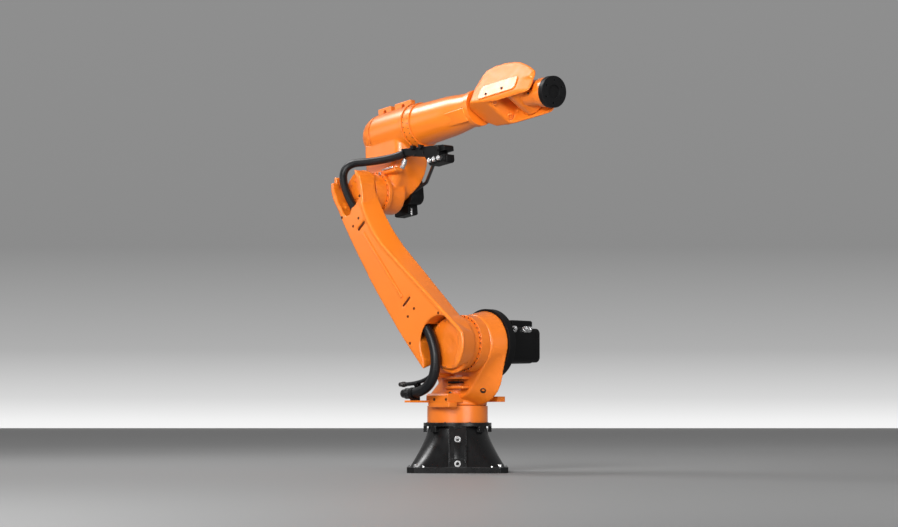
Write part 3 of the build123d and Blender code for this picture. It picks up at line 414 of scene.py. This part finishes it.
def strip(line, thickness, side_from, side_to):
    """A wall that follows points and spans two places along Y."""
    points = []
    for i, (x, z) in enumerate(line):
        heading = heading_at(line, i) * thickness / 2
        for sign, y in ((1, side_from), (1, side_to), (-1, side_to), (-1, side_from)):
            points.append((x - sign * heading.z, y, z + sign * heading.x))
    return points, ring_faces(len(line), 4)


def plate(outline, side_from, side_to):
    """A flat plate with an outline of points, which spans two places along Y."""
    count = len(outline)
    points = [(x, side_from, z) for x, z in outline] + [(x, side_to, z) for x, z in outline]
    faces = [tuple(range(count)), tuple(reversed(range(count, 2 * count)))]
    for i in range(count):
        after = (i + 1) % count
        faces.append((after, i, count + i, count + after))
    return points, faces


def bead(line, radius, middle, sides=12):
    """A round bead along points, thin at both ends, with its middle at a place along Y."""
    across = Vector((0, 1, 0))
    points = []
    for i, (x, z) in enumerate(line):
        side = across.cross(heading_at(line, i))
        size = radius * BEAD_END_SHARE if i in (0, len(line) - 1) else radius
        for step in range(sides):
            angle = 2 * math.pi * step / sides
            offset = side * math.cos(angle) * size + across * math.sin(angle) * size
            points.append(tuple(Vector((x, middle, z)) + offset))
    return points, ring_faces(len(line), sides)


# Pieces made from templates

def linked(name, points, faces, finish, crease=35):
    """A smooth mesh object with sharp edges where its faces turn by more than the crease, in degrees."""
    mesh = bpy.data.meshes.new(name)
    mesh.from_pydata([tuple(p) for p in points], [], faces)
    mesh.update()
    mesh.shade_smooth()
    mesh.set_sharp_from_angle(angle=math.radians(crease))
    mesh.materials.append(finish)
    made = bpy.data.objects.new(name, mesh)
    bpy.context.scene.collection.objects.link(made)
    return made


def scatter(name, template, places, body, finish):
    """One mesh of copies of a small part, on one body."""
    points, faces = [], []
    for place in places:
        first = len(points)
        points += [place @ (Vector(p) * MM) for p in template[0]]
        faces += [tuple(first + i for i in face) for face in template[1]]
    made = linked(name, points, faces, finish)
    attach(made, body)
    return made


def dark_screws(name, template, places, body):
    return scatter(name, template, places, body, dark_steel)


def steel(name, template, places, body):
    return scatter(name, template, places, body, bright_steel)


def painted(name, template, places, body):
    return scatter(name, template, places, body, orange_paint)


def shaded(name, template, places, body):
    return scatter(name, template, places, body, hole_shade)


def black(name, template, places, body):
    return scatter(name, template, places, body, black_matt)


def glossy(name, template, places, body):
    return scatter(name, template, places, body, black_gloss)


def around(base, radius, count, start=0.0):
    """Places on a circle about a frame's own +Z."""
    step = 360.0 / count
    return [base @ turned("Z", start + step * i) @ moved(radius, 0, 0) for i in range(count)]


def on_barrel(base, radius, along, count, start=0.0):
    """Places on a barrel about a frame's own +X, each pointing outwards."""
    step = 360.0 / count
    return [base @ turned("X", start + step * i) @ moved(along, 0, radius) for i in range(count)]


# Castings with moulded edges

def softened(name, node, body, voxel, rounds, extras=(), finish=orange_paint):
    """A casting that stands for its CAD node, with edges rounded as in the mould and extras cast on to it."""
    solid = bmesh.new()
    solid.from_mesh(nodes[node].data)
    for (points, faces), place in extras:
        corners = [solid.verts.new(place @ (Vector(p) * MM)) for p in points]
        for face in faces:
            solid.faces.new([corners[i] for i in face])
    joined = bpy.data.meshes.new(name)
    solid.to_mesh(joined)
    solid.free()
    made = bpy.data.objects.new(name, joined)
    bpy.context.scene.collection.objects.link(made)
    remesh = made.modifiers.new("remesh", "REMESH")
    remesh.mode = "VOXEL"
    remesh.voxel_size = voxel * MM
    smooth = made.modifiers.new("smooth", "SMOOTH")
    smooth.factor = 0.5
    smooth.iterations = rounds
    rounded = bpy.data.meshes.new_from_object(made.evaluated_get(bpy.context.evaluated_depsgraph_get()))
    made.modifiers.clear()
    made.data = rounded
    rounded.name = name
    rounded.shade_smooth()
    rounded.materials.clear()
    rounded.materials.append(finish)
    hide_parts(node)
    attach(made, body)


def on_circle(radius, degrees):
    """A point (x, z) on a circle about a frame's own Y."""
    return radius * math.cos(math.radians(degrees)), radius * math.sin(math.radians(degrees))


# Link arm: bead along its face's right edge, walls at the upper ring's mouth and horn, boss at the lower ring
LINK_FACE = -285
LOW_RING_EDGE = 154
BEAD_INSET = 7
BEAD_RADIUS = 9
BEAD_SUNK = 5
BEAD_END_SHARE = 0.35
BOSS_RADIUS = 125.5
FLANK_LINE = [
    (25, 542), (20, 572), (16, 602), (14, 632), (13, 663), (13, 694), (16, 724), (20, 754), (25, 785),
    (32, 814), (40, 844), (47, 866),
]
LOW_RING_LINE = [on_circle(LOW_RING_EDGE - BEAD_INSET, degrees) for degrees in range(-90, -20, 6)]
BEAD_LINE = LOW_RING_LINE + [(x - BEAD_INSET, z) for x, z in FLANK_LINE]
MOUTH_LINE = [(-90, 925), (-91, 960), (-92, 1000), (-86, 1040), (-68, 1072), (-46, 1092)]
MOUTH_FRONT_LINE = [(-97, 955), (-93, 990), (-85, 1018), (-71, 1042), (-55, 1060)]
HORN_LINE = [(38, 846), (52, 868), (68, 893), (84, 920), (93, 948), (92, 978)]
BOSS_LINE = [on_circle(BOSS_RADIUS, degrees) for degrees in range(-26, 53, 6)]
LINK_EXTRAS = (
    (strip(MOUTH_LINE, thickness=20, side_from=-250, side_to=-190), LINK),
    (strip(MOUTH_FRONT_LINE, thickness=18, side_from=-284, side_to=-240), LINK),
    (strip(HORN_LINE, thickness=20, side_from=-284, side_to=-195), LINK),
    (strip(BOSS_LINE, thickness=9, side_from=-283, side_to=-190), LINK),
    (bead(BEAD_LINE, BEAD_RADIUS, LINK_FACE + BEAD_SUNK), LINK),
)

# Wrist: a rounder hump on both cheeks
CHEEK_INSIDE = 78
CHEEK_OUTSIDE = 96
HUMP = [
    (684, 20), (690, 96), (706, 122), (752, 134), (812, 133), (872, 124), (922, 110), (990, 70), (1046, 26),
    (1030, -10), (900, 10), (760, 10),
]
WRIST_EXTRAS = (
    (plate(HUMP, -CHEEK_OUTSIDE, -CHEEK_INSIDE), FOREARM),
    (plate(HUMP, CHEEK_INSIDE, CHEEK_OUTSIDE), FOREARM),
)

softened(
    "wrist_housing_cast", "wrist_housing", "forearm", voxel=4.0, rounds=36, extras=WRIST_EXTRAS,
    finish=orange_dull,
)
softened("wrist_cover_cast", "wrist_cover_near", "forearm", voxel=2.0, rounds=12, finish=orange_satin)
softened("elbow_casting_cast", "elbow_casting", "elbow", voxel=4.5, rounds=10)
softened("link_arm_cast", "link_arm_casting", "link_arm", voxel=4.6, rounds=5, extras=LINK_EXTRAS)
softened("column_cast", "column_casting", "column", voxel=3.6, rounds=10)


# Pedestal: anchor bolts, foot screws, the front rib's raised strip and rims, and the bearing flange's screws
FOOT_TOP = 26
ANCHOR_OUT = 184
ANCHOR_TURNS = (36, 44, 16, 24)
FOOT_SCREW_FAR = 208
FOOT_SCREW_NEAR = 152
RIB_FACE = (0, -201.5, 98.5)
RIB_SLOPE = 64.6
RIB_RIM_OUT = 34
RIB_RIM_SHIFT = (12, -0.6)
TOP_RING_UP = 223
TOP_RING_CIRCLE = 147
CORNERS = [(x, y) for x in (-1, 1) for y in (-1, 1)]
anchors = [
    moved(x * ANCHOR_OUT, y * ANCHOR_OUT, FOOT_TOP) @ turned("Z", turn)
    for (x, y), turn in zip(CORNERS, ANCHOR_TURNS)
]
steel("base_anchor_bolts", hex_bolt(radius=13, height=13), anchors, "base")
foot_screws = [moved(x * FOOT_SCREW_FAR, y * FOOT_SCREW_NEAR, FOOT_TOP) for x, y in CORNERS]
foot_screws += [moved(x * FOOT_SCREW_NEAR, y * FOOT_SCREW_FAR, FOOT_TOP) for x, y in CORNERS]
steel("base_foot_screws", cap_screw(radius=7, height=6), foot_screws, "base")
rib_face = moved(*RIB_FACE) @ turned("X", RIB_SLOPE)
glossy("base_rib_strip", block(30, 84, 3.2, bevel=1.4), [rib_face], "base")
rib_rims = [rib_face @ moved(side * RIB_RIM_OUT, *RIB_RIM_SHIFT) for side in (-1, 1)]
glossy("base_rib_rims", block(5, 140, 3.4, bevel=1.5), rib_rims, "base")
ring_screws = around(moved(0, 0, TOP_RING_UP), TOP_RING_CIRCLE, count=8, start=22.5)
dark_screws("top_ring_screws", cap_screw(radius=4.5, height=3), ring_screws, "base")

# Column: gear and disc screws, motor plugs, port, tray holes, and the ledges, a black block of painted shade
# between them and the shelf under the gear
GEAR_FACE = -142
GEAR_CIRCLE = 122.6
GEAR_SCREW_COUNT = 32
GEAR_SOCKET_RISE = 4.4
DISC_FACE = 38
DISC_CIRCLE = 150
MOTOR_PLUG_OUT = 251
MOTOR_PLUG_UP = 641
MOTOR_PLUG_SIDES = (106, 178, 200)
MOTOR_PLUG_LEAN = 60
PORT_PLACE = (213, -47, 367)
PORT_FACING = (0.6, -0.62, -0.5)
TRAY_FACE = -172
TRAY_HOLE_UP = 328
TRAY_HOLES_OUT = (28, 104)
FACE_SCREWS = (((66, -112, 384), (0.07, -0.94, 0.34)), ((73, -115, 357), (0.43, -0.9, 0)))
LEDGE_OUT = 106
LEDGE_SIDE = -108
LEDGE_HEIGHTS = (376, 418)
RECESS_SHADE_PLACE = (104, -111, 400)
SHELF_PLACE = (22, -127, 426)
SHELF_FACE = -167
SHELF_SCREW_UP = 436
SHELF_SCREWS_OUT = (6, 22, 38)
TRAY_FOOT_PLACE = (55, -146, 292)
gear_face = SHOULDER @ moved(0, GEAR_FACE, 0) @ TO_FRONT_SIDE
gear_screws = around(gear_face, GEAR_CIRCLE, GEAR_SCREW_COUNT)
painted("shoulder_gear_screws", cap_screw(radius=4.8, height=5), gear_screws, "column")
gear_sockets = around(gear_face @ moved(0, 0, GEAR_SOCKET_RISE), GEAR_CIRCLE, GEAR_SCREW_COUNT)
# black discs in the gear screws' sockets: painted shade
black("shoulder_gear_sockets", hole_shade_disc(radius=3.2, height=1), gear_sockets, "column")
disc_face = SHOULDER @ moved(0, DISC_FACE, 0) @ TO_FAR_SIDE
disc_screws = around(disc_face, DISC_CIRCLE, count=16)
dark_screws("motor_disc_screws", cap_screw(radius=5, height=6), disc_screws, "column")
motor_plugs = [
    COLUMN @ moved(MOTOR_PLUG_OUT, side, MOTOR_PLUG_UP) @ turned("Y", MOTOR_PLUG_LEAN)
    for side in MOTOR_PLUG_SIDES
]
steel("shoulder_motor_plugs", connector(radius=15, length=20), motor_plugs, "column")
port = COLUMN @ facing(PORT_PLACE, PORT_FACING)
dark_screws("column_port_rim", band(inner=9, outer=13, width=5), [port], "column")
# black disc in the port: painted shade in its hollow
black("column_port", hole_shade_disc(radius=9.4), [port], "column")
tray_holes = [COLUMN @ moved(x, TRAY_FACE, TRAY_HOLE_UP) @ TO_FRONT_SIDE for x in TRAY_HOLES_OUT]
shaded("tray_hole", hole_shade_disc(radius=7), tray_holes, "column")
face_screws = [COLUMN @ facing(point, normal) for point, normal in FACE_SCREWS]
dark_screws("column_face_screws", cap_screw(radius=6, height=6), face_screws, "column")
ledges = [COLUMN @ moved(LEDGE_OUT, LEDGE_SIDE, z) for z in LEDGE_HEIGHTS]
painted("column_ledges", block(124, 46, 11, bevel=2.5), ledges, "column")
# black block between the ledges: painted shade of the recess
black("column_recess_shade", block(76, 30, 9, bevel=3), [COLUMN @ moved(*RECESS_SHADE_PLACE)], "column")
painted("gear_shelf", block(66, 80, 20, bevel=3), [COLUMN @ moved(*SHELF_PLACE)], "column")
painted("tray_foot", block(134, 52, 24, bevel=3), [COLUMN @ moved(*TRAY_FOOT_PLACE)], "column")
shelf_screws = [COLUMN @ moved(x, SHELF_FACE, SHELF_SCREW_UP) @ TO_FRONT_SIDE for x in SHELF_SCREWS_OUT]
dark_screws("gear_shelf_screws", cap_screw(radius=5, height=5), shelf_screws, "column")

# Link arm: hub dish and screws, a raised ridge, and dark discs and blocks of painted shade in the holes and
# slots of its face
HUB_FACE = -212
HUB_DISH = [(113, 0), (113, 6.4), (110, 9), (96, 8), (80, 9.5), (52, 11), (34, 11), (28, 9), (6, 9)]
DISH_SIDES = 64
DISH_RIM_RISE = 7.5
LOW_HUB_CIRCLE = 104
HIGH_HUB_CIRCLE = 62
FACE_HOLES = [(84, 102), (-139, 123), (-19, 224), (-72, 224), (46, 873), (-26, 799), (-77, 797), (-108, 883)]
RIDGE_PLACE = (-45, -283, 521.5)
SLOT_OUT = -37
SLOT_FLOOR = -281
SLOT_HEIGHTS = (283, 760)
low_hub = LINK @ moved(0, HUB_FACE, 0) @ TO_FRONT_SIDE
painted("lower_hub_dish", lathe(HUB_DISH, DISH_SIDES), [low_hub], "link_arm")
low_screws = around(low_hub @ moved(0, 0, DISH_RIM_RISE), LOW_HUB_CIRCLE, count=14, start=13)
painted("lower_hub_screws", cap_screw(radius=4, height=4), low_screws, "link_arm")
high_hub = LINK @ moved(0, HUB_FACE, LINK_LENGTH) @ TO_FRONT_SIDE
high_screws = around(high_hub, HIGH_HUB_CIRCLE, count=12, start=15)
painted("upper_hub_screws", cap_screw(radius=5, height=5), high_screws, "link_arm")
face_hole_shades = [LINK @ moved(x, LINK_FACE, z) @ TO_FRONT_SIDE for x, z in FACE_HOLES]
# dark discs on the face: painted shade in its holes
shaded("link_face_hole_shades", hole_shade_disc(radius=6.5), face_hole_shades, "link_arm")
painted("link_ridge", block(14, 412, 8, bevel=3.9), [LINK @ moved(*RIDGE_PLACE) @ TO_FRONT_SIDE], "link_arm")
dark_slots = [LINK @ moved(SLOT_OUT, SLOT_FLOOR, z) @ TO_FRONT_SIDE for z in SLOT_HEIGHTS]
# dark blocks in the slots: painted shade
shaded("link_slots", block(60, 9, 3, bevel=1.2), dark_slots, "link_arm")

# Elbow: gear screws, supply fittings, the bracket's small parts and the motor box's latch
ELBOW_FACE = -115
ELBOW_CIRCLE = 98
ELBOW_SCREW_COUNT = 24
ELBOW_SOCKET_RISE = 3.8
GEAR_PIN_PLACE = (49, ELBOW_FACE, 87)
COUPLING_PLACE = (224, -114, 118)
COUPLING_FACING = (-0.45, -0.15, -0.88)
SUPPLY_FACE = -144
SUPPLY_SOCKET_UP = 76
SUPPLY_SOCKETS_OUT = (413, 443, 473)
BRACKET_FACE = -125
BRACKET_SCREW_UP = 124
BRACKET_SCREWS_OUT = (240, 300, 360)
SUPPLY_RAIL_PLACE = (112, -124, 94)
END_PLATE_PLACE = (503, -102, 50)
END_PLATE_LEAN = 8
CLIP_SIDE = -128
CLIP_PLACES = ((300, 150), (352, 142), (470, 112))
LATCH_PLACE = (15, 100, -88)
elbow_face = ELBOW @ moved(0, ELBOW_FACE, 0) @ TO_FRONT_SIDE
elbow_screws = around(elbow_face, ELBOW_CIRCLE, ELBOW_SCREW_COUNT)
painted("elbow_gear_screws", cap_screw(radius=4, height=4.4), elbow_screws, "elbow")
elbow_sockets = around(elbow_face @ moved(0, 0, ELBOW_SOCKET_RISE), ELBOW_CIRCLE, ELBOW_SCREW_COUNT)
# black discs in the gear screws' sockets: painted shade
black("elbow_gear_sockets", hole_shade_disc(radius=2.4, height=1), elbow_sockets, "elbow")
gear_pin = ELBOW @ moved(*GEAR_PIN_PLACE) @ TO_FRONT_SIDE
steel("elbow_gear_pin", cap_screw(radius=8, height=7), [gear_pin], "elbow")
coupling = ELBOW @ facing(COUPLING_PLACE, COUPLING_FACING)
steel("supply_coupling", connector(radius=13, length=42), [coupling], "elbow")
supply_sockets = [
    ELBOW @ moved(x, SUPPLY_FACE, SUPPLY_SOCKET_UP) @ TO_FRONT_SIDE for x in SUPPLY_SOCKETS_OUT
]
steel("supply_sockets", band(inner=4.5, outer=9.5, width=6), supply_sockets, "elbow")
bracket_screws = [
    ELBOW @ moved(x, BRACKET_FACE, BRACKET_SCREW_UP) @ TO_FRONT_SIDE for x in BRACKET_SCREWS_OUT
]
dark_screws("bracket_screws", cap_screw(radius=4.5, height=4), bracket_screws, "elbow")
steel("supply_rail", block(74, 9, 9, bevel=2.6), [ELBOW @ moved(*SUPPLY_RAIL_PLACE)], "elbow")
end_plate = ELBOW @ moved(*END_PLATE_PLACE) @ turned("Y", END_PLATE_LEAN)
black("bracket_end_plate", block(8, 40, 36, bevel=2.4), [end_plate], "elbow")
clips = [ELBOW @ moved(x, CLIP_SIDE, z) for x, z in CLIP_PLACES]
black("bracket_clips", block(16, 26, 20, bevel=3), clips, "elbow")
steel("elbow_box_latch", block(5, 10, 34, bevel=1.5), [ELBOW @ moved(*LATCH_PLACE)], "elbow")

# Forearm: ring screws and the machined pad on the tube
RING_RADIUS = 106
RING_ALONG = 218
RIM_ALONG = 248
RING_SCREW_COUNT = 28
RIM_START = 6
PAD_TURN = 146
PAD_PLACE = (538, 0, 75)
PAD_HOLE_PLACE = (592, -70, -48)
PAD_HOLE_FACING = (0, -0.82, -0.57)
ring_screw = cap_screw(radius=2.4, height=1.4)
ring_places = on_barrel(FOREARM, RING_RADIUS, RING_ALONG, RING_SCREW_COUNT)
dark_screws("forearm_ring_screws", ring_screw, ring_places, "forearm")
rim_places = on_barrel(FOREARM, RING_RADIUS, RIM_ALONG, RING_SCREW_COUNT, RIM_START)
dark_screws("forearm_rim_screws", ring_screw, rim_places, "forearm")
pad = FOREARM @ turned("X", PAD_TURN) @ moved(*PAD_PLACE)
painted("forearm_pad", block(126, 66, 10, bevel=4), [pad], "forearm")
pad_hole_shade = FOREARM @ facing(PAD_HOLE_PLACE, PAD_HOLE_FACING)
# black disc: painted shade in a hole near the pad
black("forearm_pad_hole_shade", hole_shade_disc(radius=4.5), [pad_hole_shade], "forearm")

# Wrist: cover screws, root screws, hand screws and adapter screws
COVER_FACE = 100
COVER_SCREWS = ((771, -37), (869, -32))
ROOT_SCREW_ALONG = 787
ROOT_SCREW_UP = -52
ROOT_SCREW_SIDES = (-52, 55)
ROOT_SCREW_FACING = (0.78, 0, -0.62)
HAND_SCREWS = (((94, -46, -36), (0, -0.77, -0.64)), ((109, -55, -19), (0, -0.95, -0.32)))
ADAPTER_FACE = 128
ADAPTER_CIRCLE = 61.3
cover_screws = [FOREARM @ moved(x, -COVER_FACE, z) @ TO_FRONT_SIDE for x, z in COVER_SCREWS]
cover_screws += [FOREARM @ moved(x, COVER_FACE, z) @ TO_FAR_SIDE for x, z in COVER_SCREWS]
dark_screws("wrist_cover_screws", cap_screw(radius=6, height=4), cover_screws, "forearm")
root_screws = [
    FOREARM @ facing((ROOT_SCREW_ALONG, y, ROOT_SCREW_UP), ROOT_SCREW_FACING) for y in ROOT_SCREW_SIDES
]
painted("wrist_root_screws", cap_screw(radius=15, height=8), root_screws, "forearm")
hand_screws = [HAND @ facing(point, normal) for point, normal in HAND_SCREWS]
dark_screws("hand_screws", cap_screw(radius=5, height=3.4), hand_screws, "hand")
adapter_screws = around(HAND @ moved(ADAPTER_FACE, 0, 0) @ TO_BACK, ADAPTER_CIRCLE, count=12)
dark_screws("adapter_screws", cap_screw(radius=3, height=3), adapter_screws, "hand")


# Hoses

def spline_points(route, base):
    """Points along a smooth line with the route's points as its controls."""
    curve = bpy.data.curves.new("route", "CURVE")
    curve.dimensions = "3D"
    spline = curve.splines.new("NURBS")
    spline.points.add(len(route) - 1)
    for point, place in zip(spline.points, route):
        point.co = (*(base @ (Vector(place) * MM)), 1.0)
    spline.order_u = 3
    spline.use_endpoint_u = True
    spline.resolution_u = 64
    holder = bpy.data.objects.new("route", curve)
    mesh = bpy.data.meshes.new_from_object(holder)
    points = [v.co.copy() for v in mesh.vertices]
    bpy.data.objects.remove(holder)
    bpy.data.curves.remove(curve)
    bpy.data.meshes.remove(mesh)
    return points


def line_length(points):
    return sum((b - a).length for a, b in zip(points, points[1:]))


def evenly(points, step):
    """Points at equal distances along a line that was read from a spline."""
    total = line_length(points)
    count = max(2, round(total / step))
    places, walked, index = [], 0.0, 0
    for i in range(count + 1):
        goal = total * i / count
        while index < len(points) - 2 and walked + (points[index + 1] - points[index]).length < goal:
            walked += (points[index + 1] - points[index]).length
            index += 1
        piece = points[index + 1] - points[index]
        share = (goal - walked) / piece.length if piece.length else 0.0
        places.append(points[index] + piece * min(1.0, share))
    return places


RINGS_PER_RIB = 4
HOSE_SIDES = 28
HOSE_CREASE = 60


def tube(name, points, radius, pitch, depth):
    """A ribbed tube along points, closed at both ends."""
    line = evenly(points, pitch / RINGS_PER_RIB)
    across = (line[1] - line[0]).orthogonal().normalized()
    verts = []
    for i, place in enumerate(line):
        heading = (line[min(i + 1, len(line) - 1)] - line[max(i - 1, 0)]).normalized()
        across = (across - heading * across.dot(heading)).normalized()
        up = heading.cross(across)
        size = radius - depth * (0.5 - 0.5 * math.cos(2 * math.pi * i / RINGS_PER_RIB))
        for side in range(HOSE_SIDES):
            angle = 2 * math.pi * side / HOSE_SIDES
            verts.append(place + (across * math.cos(angle) + up * math.sin(angle)) * size)
    return linked(name, verts, ring_faces(len(line), HOSE_SIDES), hose_rubber, HOSE_CREASE)


def hose(name, node, route, base, radius, pitch, depth):
    """A hose along a curved route over a joint, which stands for its CAD node and leaves the object at its
    route's end.
    """
    points = list(reversed(spline_points(route, base)))
    made = tube(name, points, radius * MM, pitch * MM, depth * MM)
    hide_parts(node)
    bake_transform(made)


# Routes and fittings, and the curved stretches of hose, in the frame of the joint that they cross
HOSE_SIDE = -252
CABLE_SIDE = -228
CABLE_UP = 396
LOW_RADIUS = 23
CABLE_RADIUS = 9
HIGH_RADIUS = 19
LOW_ROUTE = [(-62, HOSE_SIDE, 354), (92, HOSE_SIDE, 354), (140, HOSE_SIDE, 560), (39, HOSE_SIDE, 676)]
CABLE_ROUTE = [
    (-132, CABLE_SIDE, CABLE_UP), (74, CABLE_SIDE, CABLE_UP), (106, CABLE_SIDE, 550), (6, CABLE_SIDE, 668),
]
HIGH_ROUTE = [(21, HOSE_SIDE, -107), (-160, HOSE_SIDE, 158), (152, -138, 130), (225, -116, 150)]
CABLE_PLUG_PLACE = (-100, CABLE_SIDE, CABLE_UP)
low_place = COLUMN @ moved(*LOW_ROUTE[0]) @ TO_BACK
low_end = glossy("lower_hose_fitting", hose_end(LOW_RADIUS, length=30), [low_place], "column")
cable_place = COLUMN @ moved(*CABLE_PLUG_PLACE) @ TO_BACK
cable_end = dark_screws("lower_cable_connector", connector(radius=12.5, length=40), [cable_place], "column")
hose(
    "lower_hose_sleeve", "lower_hose", LOW_ROUTE, COLUMN, LOW_RADIUS, pitch=7, depth=0.6,
)
hose(
    "lower_cable_sleeve", "lower_cable", CABLE_ROUTE, COLUMN, CABLE_RADIUS, pitch=5, depth=0.3,
)
hose(
    "upper_hose_sleeve", "upper_hose", HIGH_ROUTE, ELBOW, HIGH_RADIUS, pitch=7, depth=0.6,
)


# Floor, backdrop, light and camera, in metres

def sheet_of(name, corners, finish):
    """A flat sheet of the stage."""
    mesh = bpy.data.meshes.new(name)
    mesh.from_pydata(corners, [], [tuple(range(len(corners)))])
    mesh.materials.append(finish)
    made = bpy.data.objects.new(name, mesh)
    bpy.context.scene.collection.objects.link(made)


def seen_mask(tree):
    """1 for what the camera sees, itself or in gloss or glass, and 0 for light that falls on the object."""
    path = add_node(tree, "ShaderNodeLightPath")
    seen = combined(tree, "MAXIMUM", path.outputs["Is Camera Ray"], path.outputs["Is Glossy Ray"])
    return combined(tree, "MAXIMUM", seen, path.outputs["Is Transmission Ray"])


def place_along(tree, axis):
    """A point's place along an axis of its object."""
    place = add_node(tree, "ShaderNodeTexCoord")
    apart = add_node(tree, "ShaderNodeSeparateXYZ")
    tree.links.new(place.outputs["Object"], apart.inputs["Vector"])
    return apart.outputs[axis]


def floor_finish(near_grey, far_grey, near, far):
    """A floor that grows paler from the camera's side to the wall: painted shade near the camera and painted
    light towards the wall, against the lamps' fall-off.
    """
    made = bpy.data.materials.new("floor_paint")
    made.use_nodes = True
    tree = made.node_tree
    shader = tree.nodes["Principled BSDF"]
    depth = spread(tree, place_along(tree, "Y"), 0.0, 1.0, near, far)
    colour = mix_colours(tree, depth, (near_grey, near_grey, near_grey), (far_grey, far_grey, far_grey))
    tree.links.new(colour, shader.inputs["Base Color"])
    shader.inputs["Roughness"].default_value = 0.5
    shader.inputs["Specular IOR Level"].default_value = 0.3
    return made


def backdrop_finish(shades, height):
    """A grey wall that is pale at its foot. Shades are (share of the height, brightness)."""
    made = bpy.data.materials.new("backdrop_paint")
    made.use_nodes = True
    tree = made.node_tree
    shader = tree.nodes["Principled BSDF"]
    ramp = add_node(tree, "ShaderNodeValToRGB")
    stops = ramp.color_ramp.elements
    while len(stops) < len(shades):
        stops.new(0.5)
    for stop, (share, brightness) in zip(stops, shades):
        stop.position = share
        stop.color = (brightness, brightness, brightness, 1.0)
    tree.links.new(spread(tree, place_along(tree, "Z"), 0.0, 1.0, 0.0, height), ramp.inputs["Fac"])
    tree.links.new(ramp.outputs["Color"], shader.inputs["Emission Color"])
    tree.links.new(seen_mask(tree), shader.inputs["Emission Strength"])
    shader.inputs["Base Color"].default_value = (0.0, 0.0, 0.0, 1.0)
    shader.inputs["Specular IOR Level"].default_value = 0.0
    return made


STAGE_HALF = 16.0
WALL_AT = 30.5
WALL_HEIGHT = 12.0
WALL_SHADES = [(0.0, 0.93), (0.012, 0.9), (0.05, 0.68), (0.13, 0.43), (0.3, 0.26), (1.0, 0.28)]
# floor colour darker near the camera as painted shade, and paler towards the wall as painted light
floor_paint = floor_finish(near_grey=0.17, far_grey=0.56, near=-4.8, far=6.0)
wall_paint = backdrop_finish(WALL_SHADES, WALL_HEIGHT)
wall_foot = [(-STAGE_HALF, WALL_AT, 0), (STAGE_HALF, WALL_AT, 0)]
wall_top = [(STAGE_HALF, WALL_AT, WALL_HEIGHT), (-STAGE_HALF, WALL_AT, WALL_HEIGHT)]
floor_front = [(-STAGE_HALF, -STAGE_HALF, 0), (STAGE_HALF, -STAGE_HALF, 0)]
sheet_of("floor", floor_front + wall_foot[::-1], floor_paint)
sheet_of("backdrop", wall_foot + wall_top, wall_paint)


def area_light(name, place, target, width, height, power, spread_angle=180):
    """A soft lamp, in watts, that points at a target."""
    data = bpy.data.lights.new(name, "AREA")
    data.shape = "RECTANGLE"
    data.size = width
    data.size_y = height
    data.energy = power
    data.spread = math.radians(spread_angle)
    made = bpy.data.objects.new(name, data)
    made.location = place
    made.rotation_euler = (Vector(target) - Vector(place)).to_track_quat("-Z", "Y").to_euler()
    bpy.context.scene.collection.objects.link(made)


area_light("key", place=(-2.2, -5.6, 2.6), target=(0, 0, 1.0), width=2.8, height=2.8, power=330)
area_light("fill", place=(3.6, -5.0, 1.0), target=(0.1, 0, 0.9), width=3.0, height=3.0, power=150)
area_light("sheen", place=(-2.5, 1.3, 4.4), target=(0.1, -0.2, 1.4), width=1.6, height=1.2, power=95)
area_light("side", place=(-5.2, 0.4, 2.4), target=(-0.3, 0, 1.3), width=1.6, height=1.6, power=16)
area_light(
    "upper", place=(-1.6, -4.8, 2.4), target=(0.05, 0, 1.75), width=1.0, height=0.6, power=5, spread_angle=40,
)

world = bpy.data.worlds.new("studio")
world.use_nodes = True
sky = world.node_tree.nodes["Background"]
sky.inputs["Color"].default_value = (0.9, 0.9, 0.9, 1.0)
sky.inputs["Strength"].default_value = 0.3
bpy.context.scene.world = world
bpy.context.scene.view_settings.view_transform = "Standard"

# The camera as fitted to the photo: its focal length and its tilt and turn are in the photo's pixels
PHOTO_WIDTH = 898
FOCAL_PIXELS = 2000
TILT_PIXELS = 151.5
TURN_PIXELS = 8.5
SENSOR_WIDTH = 36.0
CAMERA_PLACE = (0.0, -9.14, 0.258)
lens = bpy.data.cameras.new("camera")
lens.sensor_width = SENSOR_WIDTH
lens.lens = SENSOR_WIDTH * FOCAL_PIXELS / PHOTO_WIDTH
camera = bpy.data.objects.new("camera", lens)
camera.location = CAMERA_PLACE
tilt = math.radians(90) + math.atan(TILT_PIXELS / FOCAL_PIXELS)
camera.rotation_euler = (tilt, 0.0, math.atan(TURN_PIXELS / FOCAL_PIXELS))
bpy.context.scene.collection.objects.link(camera)
bpy.context.scene.camera = camera
